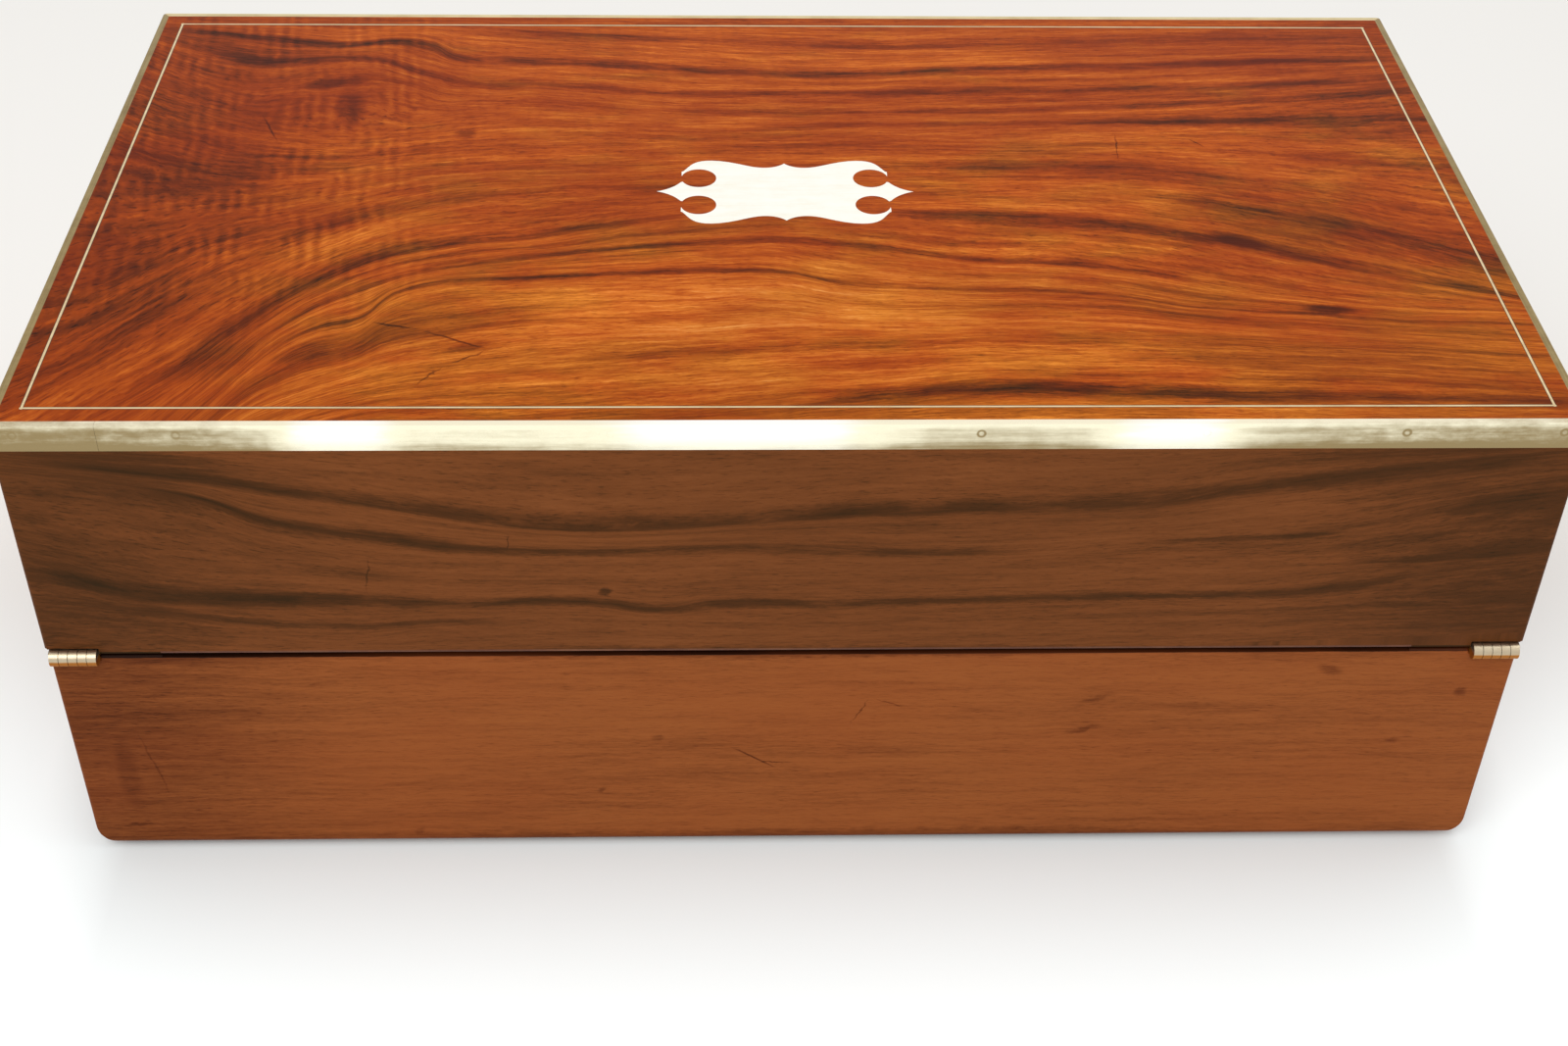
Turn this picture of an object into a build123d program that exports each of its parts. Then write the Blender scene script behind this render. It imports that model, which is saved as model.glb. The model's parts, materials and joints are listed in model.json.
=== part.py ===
from build123d import *
import os
from math import atan2, cos, degrees, sqrt, tan

os.makedirs("parts", exist_ok=True)

# Writing slope, closed, in millimetres. +X runs along the length, +Y from the hinge side to the
# lock side and +Z up. The origin is the centre of the face that it stands on.

# Outside of the box
box_length = 406.4
box_depth = 228.6
box_height = 156.0
base_lock_side_height = 118.0
lid_overhang = 0.6
corner_radius = 1.2
base_end_arris_radius = 9.0
base_side_arris_radius = 3.0

# Boards of the carcass
side_wall = 12.7
hinge_wall = 12.7
lock_wall = 12.0
top_board_thickness = 7.94
bottom_board_thickness = 8.0
underlay_thickness = 1.5
underlay_margin = 8.0
lining_thickness = 0.8

# Seam between base and lid
seam_gap = 0.1
cut_run_out = 1.0
hinge_wall_relief = 0.7
hinge_axis_proud = 0.7

# Brass and stringing on the lid
edging_thickness = 2.0
edging_joint_from_left = 27.2
edging_joint_gap = 0.06
pin_head_diameter = 1.5
pin_drop = 3.0
pin_corner_distances = (6.5, 47.2, 98.6, 156.2)
end_pin_corner_distances = (22.3, 76.3)
stringing_inset = 7.6
stringing_width = 1.0
stringing_depth = 1.2
cartouche_thickness = 1.2

# Cartouche outline: places from its centre
spear_tip = 37.7
spear_waist = (33.5, 2.15)
spear_shoulder = (30.7, 5.3)
scroll_centre = (25.4, 7.6)
scroll_radius = 5.15
horn_tip = (30.45, 8.9)
horn_bend = (30.2, 11.5)
horn_back = (27.4, 15.7)
horn_peak = (21.9, 17.9)
edge_slope = (13.5, 15.9)
edge_dip = (7.2, 13.8)
centre_cusp = 16.2

# Barrel hinges at the two ends of the fold
barrel_diameter = 4.76
barrel_length = 12.7
barrel_end_inset = 1.6
barrel_notch_clearance = 0.35
knuckle_count = 5
knuckle_gap = 0.16
hinge_pin_diameter = 2.4
pin_clearance = 0.05
main_leaf_reach = 56.0
main_leaf_thickness = 1.2
main_leaf_outer_lip = 1.0
main_leaf_inner_lip = 0.3
main_screw_places = (16.0, 32.0, 48.0)
main_screw_head = 4.6
main_screw_shank = 2.2
main_screw_length = 9.0

# Writing flaps
leather_side_border = 18.5
leather_thickness = 1.1
face_clearance = 0.3
flap_board_thickness = 6.8
flap_side_clearance = 0.5
flap_free_border = 14.0
flap_rest_clearance = 0.2
ledge_width = 8.0
ledge_depth = 9.0
fold_strip_setback = 1.9
fold_strip_bed_run_on = 5.0

# Small hinges of the flaps
flap_barrel_diameter = 4.0
flap_barrel_length = 32.0
flap_barrel_cover = 0.5
flap_barrel_side_gap = 0.6
flap_hinge_spacing = 220.0
flap_knuckle_count = 3
flap_pin_diameter = 1.8
flap_leaf_thickness = 1.0
fixed_leaf_reach = 9.0
moving_leaf_reach = 13.0

# Pen and ink end of the base
pen_space_width = 50.0
divider_thickness = 8.0
pen_floor_height = 44.0
pen_floor_thickness = 6.0
ink_cell_length = 44.0
partition_thickness = 6.0
partition_drop = 4.0
tray_height = 16.0
tray_top_drop = 11.0
tray_side_clearance = 0.5
trough_radius = 26.0
trough_depth = 11.0
trough_end_rim = 7.0
tray_block_width = 9.0

# Ink bottles
bottle_side = 38.0
bottle_corner_radius = 5.0
bottle_body_height = 34.0
bottle_shoulder = 5.0
bottle_wall = 4.5
neck_diameter = 20.0
neck_height = 8.0
neck_bore = 13.0
collar_diameter = 24.0
collar_height = 6.5
cap_clearance = 0.08
cap_wall = 1.8
cap_skirt = 8.0
cap_dome_rise = 4.0
cap_flute_count = 20
cap_flute_radius = 0.9
cap_flute_depth = 0.5
cap_flute_length = 5.8

# Box lock
lock_length = 58.0
lock_height = 30.0
lock_depth = 9.0
lock_plate_thickness = 1.6
lock_rim = 1.4
selvedge_length = 74.0
selvedge_width = 9.0
link_spacing = 26.0
link_width = 5.0
link_thickness = 3.0
hook_toe = 2.0
link_swing_room = 2.4
link_clearance = 0.6
bolt_thickness = 2.4
bolt_travel = 4.5
bolt_running_gap = 0.15
nose_height = 3.0
nose_drop = 6.0
nose_reach = 7.0
bolt_arm_width = 2.6
bolt_foot_width = 5.0
bolt_bar_height = 5.0
key_drop = 20.0
key_pin_diameter = 2.6
keyhole_diameter = 5.2
keyhole_slot_width = 2.2
keyhole_slot_drop = 8.0
escutcheon_width = 12.0
escutcheon_height = 19.0
escutcheon_thickness = 1.2
escutcheon_drop = 2.0

# Turn-button that holds the flap of the lid
lock_rail_width = 12.0
rail_lip_width = 5.0
button_nose = 12.0
button_tail = 4.2
button_width = 7.0
button_thickness = 1.6
button_gap = 0.2
button_post_diameter = 3.0
button_post_length = 6.0
button_head_diameter = 5.6

# Values worked out from those above
half_length = box_length / 2
half_depth = box_depth / 2
base_half_length = half_length - lid_overhang
base_half_depth = half_depth - lid_overhang
inner_half_length = half_length - side_wall
inner_hinge_y = -half_depth + hinge_wall
inner_lock_y = half_depth - lock_wall
lid_wall_top = box_height - top_board_thickness
floor_top = underlay_thickness + bottom_board_thickness
hinge_axis_y = -half_depth - hinge_axis_proud
hinge_axis_z = box_height / 2
slope = atan2(base_lock_side_height - hinge_axis_z, half_depth - hinge_axis_y)
leather_half_length = inner_half_length - leather_side_border
far = 2 * box_length

# The seam's own frame: origin on the hinge axis, Y up the slope and Z square to the seam
seam = Pos(0, hinge_axis_y, hinge_axis_z) * Rot(degrees(slope), 0, 0)


def seam_height(y):
    """Height of the seam's plane at a distance y from the centre of the box."""
    return hinge_axis_z + (y - hinge_axis_y) * tan(slope)


def along_seam(y):
    """Distance up the slope, from the hinge axis, of the seam's point above y."""
    return (y - hinge_axis_y) / cos(slope)


def block(x_limits, y_limits, z_limits):
    """Box between three pairs of limits."""
    limits = (x_limits, y_limits, z_limits)
    middle = [(low + high) / 2 for low, high in limits]
    sizes = [high - low for low, high in limits]
    return Pos(*middle) * Box(*sizes)


def seam_block(x_limits, y_limits, z_limits):
    """Box between limits in the seam's frame."""
    return seam * block(x_limits, y_limits, z_limits)


def under_seam(shape, gap):
    """What is left of a shape below the seam, less a gap."""
    return shape - seam_block((-far, far), (-far, far), (-gap, far))


def over_seam(shape, gap):
    """What is left of a shape above the seam, less a gap."""
    return shape - seam_block((-far, far), (-far, far), (-far, gap))


def prism(points, z_low, z_high):
    """Upright prism on a polygon."""
    return Pos(0, 0, z_low) * extrude(Polygon(*points, align=None), z_high - z_low, dir=(0, 0, 1))


def x_cylinder(radius, x_limits, y=0.0, z=0.0):
    """Cylinder along X."""
    length = x_limits[1] - x_limits[0]
    return Pos(sum(x_limits) / 2, y, z) * Rot(0, 90, 0) * Cylinder(radius, length)


def y_cylinder(radius, y_limits, x=0.0, z=0.0):
    """Cylinder along Y."""
    length = y_limits[1] - y_limits[0]
    return Pos(x, sum(y_limits) / 2, z) * Rot(90, 0, 0) * Cylinder(radius, length)


def mirrored(shape):
    """Copy of a shape at the other end of the box."""
    return mirror(shape, about=Plane.YZ)


def both_ends(shape):
    """A shape and its copy at the other end of the box, as one group."""
    return Compound(children=[*shape.solids(), *mirrored(shape).solids()])


def group(shapes):
    """Separate solids in one node."""
    return Compound(children=[solid for shape in shapes for solid in shape.solids()])


def rounded_plan(half_x, half_y, radius, z_low, z_high):
    """Upright block with rounded corners."""
    plan = RectangleRounded(2 * half_x, 2 * half_y, radius)
    return Pos(0, 0, z_low) * extrude(plan, z_high - z_low)


def mitred_frame(half_x, half_y, opening_x, opening_y, z_low, z_high):
    """Four boards or strips that meet in mitres round an opening."""
    corners = {
        "hinge_left": ((-half_x, -half_y), (opening_x[0], opening_y[0])),
        "hinge_right": ((half_x, -half_y), (opening_x[1], opening_y[0])),
        "lock_right": ((half_x, half_y), (opening_x[1], opening_y[1])),
        "lock_left": ((-half_x, half_y), (opening_x[0], opening_y[1])),
    }
    ends = {
        "hinge": ("hinge_left", "hinge_right"),
        "lock": ("lock_right", "lock_left"),
        "left": ("lock_left", "hinge_left"),
        "right": ("hinge_right", "lock_right"),
    }
    boards = {}
    for side, (first, second) in ends.items():
        outline = (corners[first][0], corners[second][0], corners[second][1], corners[first][1])
        boards[side] = prism(outline, z_low, z_high)
    return boards


def base_envelope():
    """Outside of the base, with its lower arrises worn round."""
    height = box_height
    middle = underlay_thickness + height / 2
    profiles = []
    for half_width, arris_radius, plane in (
        (base_half_length, base_end_arris_radius, Plane.XZ),
        (base_half_depth, base_side_arris_radius, Plane.YZ),
    ):
        rounded = RectangleRounded(2 * half_width, height, arris_radius)
        upper = Pos(0, height / 4) * Rectangle(2 * half_width, height / 2)
        profile = plane * Pos(0, middle) * (rounded + upper)
        profiles.append(extrude(profile, far, both=True))
    plan = rounded_plan(base_half_length, base_half_depth, corner_radius, 0, box_height)
    return profiles[0] & profiles[1] & plan


def lid_envelope():
    """Outside of the lid."""
    return rounded_plan(half_length, half_depth, corner_radius, 0, box_height)


def countersunk_screw(head, shank, length):
    """Screw that points down from its flat head at Z = 0, without its slot."""
    cone = (head - shank) / 2
    outline = Polygon(
        (0, 0),
        (head / 2, 0),
        (shank / 2, -cone),
        (shank / 2, -length + shank),
        (0, -length),
        align=None,
    )
    return revolve(Plane.XZ * outline, Axis.Z)


def slotted(screw, head):
    """Screw with a slot across its head."""
    slot_width = head / 8
    slot_depth = head / 8
    return screw - block((-head, head), (-slot_width / 2, slot_width / 2), (-slot_depth, slot_depth))


def knuckle_limits(length, count, index):
    """Ends of one knuckle of a barrel that is centred on X = 0."""
    pitch = length / count
    start = -length / 2 + index * pitch
    low = start + (knuckle_gap / 2 if index else 0.0)
    high = start + pitch - (knuckle_gap / 2 if index < count - 1 else 0.0)
    return low, high


def hinge_leaf(barrel, bore, length, count, first, plate_x, reach, plate_z):
    """Leaf of a hinge with every second knuckle, along +Y from a barrel on the X axis.

    The first of its own knuckles is number `first`. The plate lies between the two
    heights plate_z, is cut back round the other leaf's knuckles, and is one solid
    with its own."""
    leaf = block(plate_x, (0, reach), plate_z)
    for index in range(count):
        limits = knuckle_limits(length, count, index)
        if index % 2 == first:
            leaf = leaf + x_cylinder(barrel / 2, limits)
        else:
            wide = (limits[0] - knuckle_gap, limits[1] + knuckle_gap)
            leaf = leaf - x_cylinder(barrel / 2 + knuckle_gap, wide)
    return leaf - x_cylinder(bore / 2, (-length, length))


def cartouche_outline():
    """Face of the vacant plate, from a quarter that is mirrored twice.

    The long edge runs from the centre cusp through a dip and a rise to the horn, the
    horn's inside is the round scroll, and a spear closes the end."""
    edge = Spline(
        (0, centre_cusp),
        edge_dip,
        edge_slope,
        horn_peak,
        horn_back,
        horn_bend,
        horn_tip,
        tangents=((1, -1.1), (-0.05, -1)),
    )
    to_centre = Polyline(horn_tip, (scroll_centre[0], scroll_centre[1]), spear_shoulder)
    spear = ThreePointArc(spear_shoulder, spear_waist, (spear_tip, 0))
    closing = Polyline((spear_tip, 0), (0, 0), (0, centre_cusp))
    quarter = make_face([edge, to_centre, spear, closing])
    quarter = quarter - Pos(*scroll_centre) * Circle(scroll_radius)
    half = quarter + mirror(quarter, about=Plane.YZ)
    return half + mirror(half, about=Plane.XZ)


def keyhole(y_limits, x, z):
    """Round hole with the slot for the key's bit below it."""
    slot_x = (x - keyhole_slot_width / 2, x + keyhole_slot_width / 2)
    slot = block(slot_x, y_limits, (z - keyhole_slot_drop, z))
    return y_cylinder(keyhole_diameter / 2, y_limits, x, z) + slot


parts = {}
base_outside = base_envelope()
lid_outside = lid_envelope()

# Main hinges: two barrels at the ends of the fold, with leaves let into the side walls' edges
barrel_middle_x = half_length - barrel_end_inset - barrel_length / 2
leaf_outer_x = half_length - main_leaf_outer_lip
leaf_inner_x = inner_half_length + main_leaf_inner_lip
leaf_plate_x = (leaf_inner_x - barrel_middle_x, leaf_outer_x - barrel_middle_x)
main_bore = hinge_pin_diameter + 2 * pin_clearance
base_leaf_z = (-seam_gap - main_leaf_thickness, -seam_gap)
lid_leaf_z = (seam_gap, seam_gap + main_leaf_thickness)
at_right_barrel = seam * Pos(barrel_middle_x, 0, 0)
base_leaf = at_right_barrel * hinge_leaf(
    barrel_diameter, main_bore, barrel_length, knuckle_count, 0, leaf_plate_x, main_leaf_reach, base_leaf_z
)
lid_leaf = at_right_barrel * hinge_leaf(
    barrel_diameter, main_bore, barrel_length, knuckle_count, 1, leaf_plate_x, main_leaf_reach, lid_leaf_z
)
hinge_pin = at_right_barrel * x_cylinder(hinge_pin_diameter / 2, (-barrel_length / 2, barrel_length / 2))
notch_x = (barrel_middle_x - barrel_length / 2 - barrel_notch_clearance, half_length + cut_run_out)
barrel_notch = seam * x_cylinder(barrel_diameter / 2 + barrel_notch_clearance, notch_x)
leaf_x = (leaf_inner_x, leaf_outer_x)
base_leaf_pocket = seam_block(leaf_x, (0, main_leaf_reach), (base_leaf_z[0], cut_run_out))
lid_leaf_pocket = seam_block(leaf_x, (0, main_leaf_reach), (-cut_run_out, lid_leaf_z[1]))

main_screw = countersunk_screw(main_screw_head, main_screw_shank, main_screw_length)
screw_x = (leaf_inner_x + leaf_outer_x) / 2
base_hinge_places = []
lid_hinge_places = []
for place in main_screw_places:
    base_place = seam * Pos(screw_x, place, -seam_gap)
    lid_place = seam * Pos(screw_x, place, seam_gap) * Rot(180, 0, 0)
    base_leaf = base_leaf - base_place * main_screw
    lid_leaf = lid_leaf - lid_place * main_screw
    base_hinge_places.append(base_place)
    lid_hinge_places.append(lid_place)

parts["hinge_leaves_base"] = both_ends(base_leaf)
parts["hinge_leaves_lid"] = both_ends(lid_leaf)
parts["hinge_pins"] = both_ends(hinge_pin)
base_hinge_cuts = [barrel_notch, base_leaf_pocket, *[place * main_screw for place in base_hinge_places]]
lid_hinge_cuts = [barrel_notch, lid_leaf_pocket, *[place * main_screw for place in lid_hinge_places]]

# Small hinges of the flaps, two to a flap, between the hinge wall and the flap's edge
wall_along = along_seam(inner_hinge_y)
flap_axis_along = wall_along + flap_barrel_side_gap + flap_barrel_diameter / 2
flap_edge_along = flap_axis_along + flap_barrel_diameter / 2 + flap_barrel_side_gap
flap_axis_drop = flap_barrel_diameter / 2 + flap_barrel_cover
flap_bore = flap_pin_diameter + 2 * pin_clearance
leaf_top = face_clearance + leather_thickness
small_leaf_z = (flap_axis_drop - leaf_top - flap_leaf_thickness, flap_axis_drop - leaf_top)
half_barrel = flap_barrel_length / 2
fixed_reach = flap_axis_along - wall_along + fixed_leaf_reach
moving_reach = flap_edge_along - flap_axis_along + moving_leaf_reach
small_fixed_leaf = Rot(0, 0, 180) * hinge_leaf(
    flap_barrel_diameter, flap_bore, flap_barrel_length, flap_knuckle_count, 0,
    (-half_barrel, half_barrel), fixed_reach, small_leaf_z,
)
small_moving_leaf = hinge_leaf(
    flap_barrel_diameter, flap_bore, flap_barrel_length, flap_knuckle_count, 1,
    (-half_barrel, half_barrel), moving_reach, small_leaf_z,
)
small_pin = x_cylinder(flap_pin_diameter / 2, (-half_barrel, half_barrel))
small_pocket = block((-half_barrel, half_barrel), (-fixed_reach, moving_reach), (small_leaf_z[0], far))
flap_hinge_places = (-flap_hinge_spacing / 2, flap_hinge_spacing / 2)
base_small = [seam * Pos(x, flap_axis_along, -flap_axis_drop) for x in flap_hinge_places]
lid_small = [seam * Pos(x, flap_axis_along, flap_axis_drop) * Rot(0, 180, 0) for x in flap_hinge_places]
for owner, places in (("base", base_small), ("lid", lid_small)):
    parts[owner + "_flap_hinges_fixed"] = group([place * small_fixed_leaf for place in places])
    parts[owner + "_flap_hinges_moving"] = group([place * small_moving_leaf for place in places])
    parts[owner + "_flap_hinge_pins"] = group([place * small_pin for place in places])

# Lock: a plate and case let into the base's lock wall, a sliding bolt, and the lid's link plate
lock_top = seam_height(inner_lock_y)
lock_low = lock_top - lock_height
plate_back_y = inner_lock_y + lock_plate_thickness
case_out_y = inner_lock_y + lock_depth
cavity_y = (plate_back_y, case_out_y - lock_rim)
link_y = cavity_y[1] - bolt_running_gap - link_clearance - link_thickness / 2
selvedge_y = (inner_lock_y, inner_lock_y + selvedge_width)
link_places = (-link_spacing / 2, link_spacing / 2)
key_z = lock_top - key_drop
half_lock = lock_length / 2
half_case = half_lock - lock_rim
nose_z = (lock_top - nose_drop - nose_height, lock_top - nose_drop)


def selvedge(low, high):
    """Strip along the lock wall's edge, between two distances from the seam."""
    strip = seam_block((-selvedge_length / 2, selvedge_length / 2), (0, far), (low, high))
    return strip & block((-far, far), selvedge_y, (0, box_height))


lock_plate = selvedge(-seam_gap - lock_plate_thickness, -seam_gap)
back_plate = block((-half_lock, half_lock), (inner_lock_y, plate_back_y), (lock_low, lock_top))
lock_plate = lock_plate + under_seam(back_plate, seam_gap)
slot_y = (link_y - link_thickness / 2 - link_swing_room, link_y + link_thickness / 2 + link_clearance)
for x in link_places:
    slot_x = (x - link_width / 2 - link_clearance, x + link_width / 2 + link_clearance)
    lock_plate = lock_plate - block(slot_x, slot_y, (lock_low, box_height))

case_low = lock_low + lock_rim
case = block((-half_case, half_case), (plate_back_y, case_out_y), (case_low, box_height))
case = under_seam(case, seam_gap + lock_plate_thickness)
cavity_x = (-half_case + lock_rim, half_case - lock_rim)
cavity_floor = case_low + lock_rim
case = case - block(cavity_x, cavity_y, (cavity_floor, box_height))
case = case - keyhole((cavity_y[1] - cut_run_out, case_out_y + cut_run_out), 0, key_z)
key_pin = y_cylinder(key_pin_diameter / 2, (plate_back_y, case_out_y), 0, key_z)

bolt_y = (link_y - bolt_thickness / 2, link_y + bolt_thickness / 2)
bolt_floor = cavity_floor + bolt_running_gap
hook_low = nose_z[0] - link_clearance / 2 - hook_toe
bar_top = hook_low - link_clearance
bar_low = bar_top - bolt_bar_height
nose_ends = [x - link_width / 2 - 2 * link_clearance for x in link_places]
bolt_x = (nose_ends[0] - nose_reach, nose_ends[1])
bolt = block(bolt_x, bolt_y, (bar_low, bar_top))
for foot_x in (bolt_x[0], bolt_x[1] - bolt_foot_width):
    bolt = bolt + block((foot_x, foot_x + bolt_foot_width), bolt_y, (bolt_floor, bar_low))
for nose_end in nose_ends:
    nose_start = nose_end - nose_reach
    bolt = bolt + block((nose_start, nose_end), bolt_y, nose_z)
    arm_x = (nose_start, nose_start + bolt_arm_width)
    bolt = bolt + block(arm_x, bolt_y, (bar_top, nose_z[1]))

link_plate = selvedge(seam_gap, seam_gap + lock_plate_thickness)
for x, nose_end in zip(link_places, nose_ends):
    link_x = (x - link_width / 2, x + link_width / 2)
    depth = (link_y - link_thickness / 2, link_y + link_thickness / 2)
    hook = block(link_x, depth, (hook_low, box_height))
    hook = hook - seam_block((-far, far), (-far, far), (seam_gap + lock_plate_thickness / 2, far))
    window_x = (link_x[0] - cut_run_out, nose_end + bolt_travel + link_clearance / 2)
    window = block(window_x, (0, far), (nose_z[0] - link_clearance / 2, nose_z[1] + link_clearance / 2))
    link_plate = link_plate + (hook - window)

lock_screw_x = selvedge_length / 2 - main_screw_head
lock_screw_y = sum(selvedge_y) / 2
base_lock_places = []
lid_lock_places = []
for x in (-lock_screw_x, lock_screw_x):
    base_place = seam * Pos(x, along_seam(lock_screw_y), -seam_gap)
    lid_place = seam * Pos(x, along_seam(lock_screw_y), seam_gap) * Rot(180, 0, 0)
    lock_plate = lock_plate - base_place * main_screw
    link_plate = link_plate - lid_place * main_screw
    base_lock_places.append(base_place)
    lid_lock_places.append(lid_place)

escutcheon_place_z = key_z - escutcheon_drop
face_y = base_half_depth
escutcheon_plan = Ellipse(escutcheon_width / 2, escutcheon_height / 2)
escutcheon_blank = Pos(0, face_y - escutcheon_thickness, escutcheon_place_z) * (
    Rot(-90, 0, 0) * extrude(escutcheon_plan, escutcheon_thickness)
)
key_passage = keyhole((case_out_y - cut_run_out, half_depth + cut_run_out), 0, key_z)

parts["lock_plate"] = lock_plate
parts["lock_case"] = case
parts["lock_key_pin"] = key_pin
parts["lock_bolt"] = bolt
parts["lock_escutcheon"] = escutcheon_blank - key_passage
parts["link_plate"] = link_plate
slotted_screw = slotted(main_screw, main_screw_head)
for owner, hinge_places, lock_places in (
    ("base", base_hinge_places, base_lock_places),
    ("lid", lid_hinge_places, lid_lock_places),
):
    hinge_screws = both_ends(group([place * slotted_screw for place in hinge_places]))
    lock_screws = group([place * slotted_screw for place in lock_places])
    parts[owner + "_brass_screws"] = group([hinge_screws, lock_screws])

# Base: four mitred walls, bottom board, underlay and lining
mortise = block((-half_lock, half_lock), (0, case_out_y), (lock_low, box_height))
selvedge_bed = selvedge(-seam_gap - lock_plate_thickness, cut_run_out)
base_lock_cuts = [mortise, selvedge_bed, escutcheon_blank, key_passage]
base_lock_cuts += [place * main_screw for place in base_lock_places]
leather_x = (-leather_half_length, leather_half_length)
strip_bed = seam_block(leather_x, (-far, wall_along + fold_strip_bed_run_on), (-leaf_top, leaf_top))
fixed_beds = [place * small_pocket for place in base_small]
base_cuts = {
    "hinge": [strip_bed, *fixed_beds, *base_hinge_cuts, *[mirrored(cut) for cut in base_hinge_cuts]],
    "lock": base_lock_cuts,
    "left": [mirrored(cut) for cut in base_hinge_cuts],
    "right": base_hinge_cuts,
}
inner_x = (-inner_half_length, inner_half_length)
inner_y = (inner_hinge_y, inner_lock_y)
base_walls = mitred_frame(
    base_half_length, base_half_depth, inner_x, inner_y, underlay_thickness, box_height
)
for side, wall in base_walls.items():
    wall = under_seam(wall & base_outside, hinge_wall_relief if side == "hinge" else seam_gap)
    for cut in base_cuts[side]:
        wall = wall - cut
    parts["base_" + side + "_wall"] = wall

parts["base_bottom_board"] = block(inner_x, inner_y, (underlay_thickness, floor_top))
underlay_x = base_half_length - underlay_margin
underlay_y = base_half_depth - underlay_margin
parts["base_underlay"] = block((-underlay_x, underlay_x), (-underlay_y, underlay_y), (0, underlay_thickness))
lining_top = floor_top + lining_thickness
parts["base_lining"] = block(inner_x, inner_y, (floor_top, lining_top))

# Pen and ink end: floor, divider, partitions, tray and its blocks
divider_far_y = inner_lock_y - pen_space_width
divider_near_y = divider_far_y - divider_thickness
floor_low = pen_floor_height - pen_floor_thickness
pen_floor = block(inner_x, (divider_near_y, inner_lock_y), (floor_low, pen_floor_height))
divider = block(inner_x, (divider_near_y, divider_far_y), (pen_floor_height, box_height))
divider = under_seam(divider, face_clearance)
flap_free_along = along_seam(divider_near_y + divider_thickness / 2)
flap_back = face_clearance + flap_board_thickness
rebate_y = (0, flap_free_along + flap_side_clearance)
divider = divider - seam_block(inner_x, rebate_y, (-flap_back - flap_rest_clearance, far))
parts["pen_floor"] = pen_floor
parts["pen_divider"] = divider

partition_x = inner_half_length - ink_cell_length
partition_box = block(
    (partition_x - partition_thickness, partition_x),
    (divider_far_y, inner_lock_y),
    (pen_floor_height, box_height),
)
parts["ink_partitions"] = both_ends(under_seam(partition_box, partition_drop))

tray_half = partition_x - partition_thickness - tray_side_clearance
tray_y = (divider_far_y + tray_side_clearance, inner_lock_y - tray_side_clearance)
tray_top = seam_height(divider_far_y) - tray_top_drop
tray_low = tray_top - tray_height
tray_middle_y = sum(tray_y) / 2
trough_z = tray_top + trough_radius - trough_depth
trough_half_width = sqrt(trough_radius ** 2 - (trough_radius - trough_depth) ** 2)
trough_end = tray_half - trough_end_rim - trough_half_width
tray = block((-tray_half, tray_half), tray_y, (tray_low, tray_top))
tray = tray - x_cylinder(trough_radius, (-trough_end, trough_end), tray_middle_y, trough_z)
for x in (-trough_end, trough_end):
    tray = tray - Pos(x, tray_middle_y, trough_z) * Sphere(trough_radius)
parts["pen_tray"] = tray
tray_block_x = (partition_x - partition_thickness - tray_block_width, partition_x - partition_thickness)
tray_block = block(tray_block_x, (divider_far_y, inner_lock_y), (pen_floor_height, tray_low))
parts["tray_blocks"] = both_ends(tray_block)

# Ink bottles with brass collars and caps
bottle_x = partition_x + ink_cell_length / 2
shoulder_z = bottle_body_height
neck_z = shoulder_z + bottle_shoulder
rim_z = neck_z + neck_height
at_right_bottle = Pos(bottle_x, tray_middle_y, pen_floor_height)
body = extrude(RectangleRounded(bottle_side, bottle_side, bottle_corner_radius), shoulder_z)
shoulder_base = Pos(0, 0, shoulder_z) * RectangleRounded(bottle_side, bottle_side, bottle_corner_radius)
shoulder_tip = bottle_side - 2 * bottle_shoulder
shoulder_crown = Pos(0, 0, neck_z) * RectangleRounded(shoulder_tip, shoulder_tip, bottle_corner_radius)
body = body + loft([shoulder_base, shoulder_crown])
body = body + Pos(0, 0, neck_z) * extrude(Circle(neck_diameter / 2), neck_height)
hollow_side = bottle_side - 2 * bottle_wall
hollow_plan = RectangleRounded(hollow_side, hollow_side, bottle_corner_radius / 2)
hollow = extrude(hollow_plan, shoulder_z - bottle_wall)
bottle = body - Pos(0, 0, bottle_wall) * hollow
bottle = bottle - Pos(0, 0, bottle_wall) * extrude(Circle(neck_bore / 2), rim_z)
parts["ink_bottle_right"] = at_right_bottle * bottle
parts["ink_bottle_left"] = mirrored(at_right_bottle * bottle)

collar_ring = Circle(collar_diameter / 2) - Circle(neck_diameter / 2)
collar = Pos(0, 0, rim_z - collar_height) * extrude(collar_ring, collar_height)
parts["ink_collars"] = both_ends(at_right_bottle * collar)

cap_inner = collar_diameter / 2 + cap_clearance
cap_outer = cap_inner + cap_wall
cap_low = rim_z - cap_skirt + face_clearance
cap_crown = rim_z + face_clearance
cap_top = cap_crown + cap_wall
dome_radius = (cap_outer ** 2 + cap_dome_rise ** 2) / (2 * cap_dome_rise)
cap_dome = Pos(0, 0, cap_top + cap_dome_rise - dome_radius) * Sphere(dome_radius)
cap = Pos(0, 0, cap_low) * extrude(Circle(cap_outer), cap_top + cap_dome_rise - cap_low)
cap = cap & cap_dome
cap = cap - Pos(0, 0, cap_low) * extrude(Circle(cap_inner), cap_crown - cap_low)
flute_place = Pos(cap_outer + cap_flute_radius - cap_flute_depth, 0, (cap_low + cap_top) / 2)
flute = flute_place * Cylinder(cap_flute_radius, cap_flute_length)
flute_pitch = 360 / cap_flute_count
for index in range(cap_flute_count):
    cap = cap - Rot(0, 0, (index + 0.5) * flute_pitch) * flute
parts["ink_cap_right"] = at_right_bottle * cap
parts["ink_cap_left"] = mirrored(at_right_bottle * cap)

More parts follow.
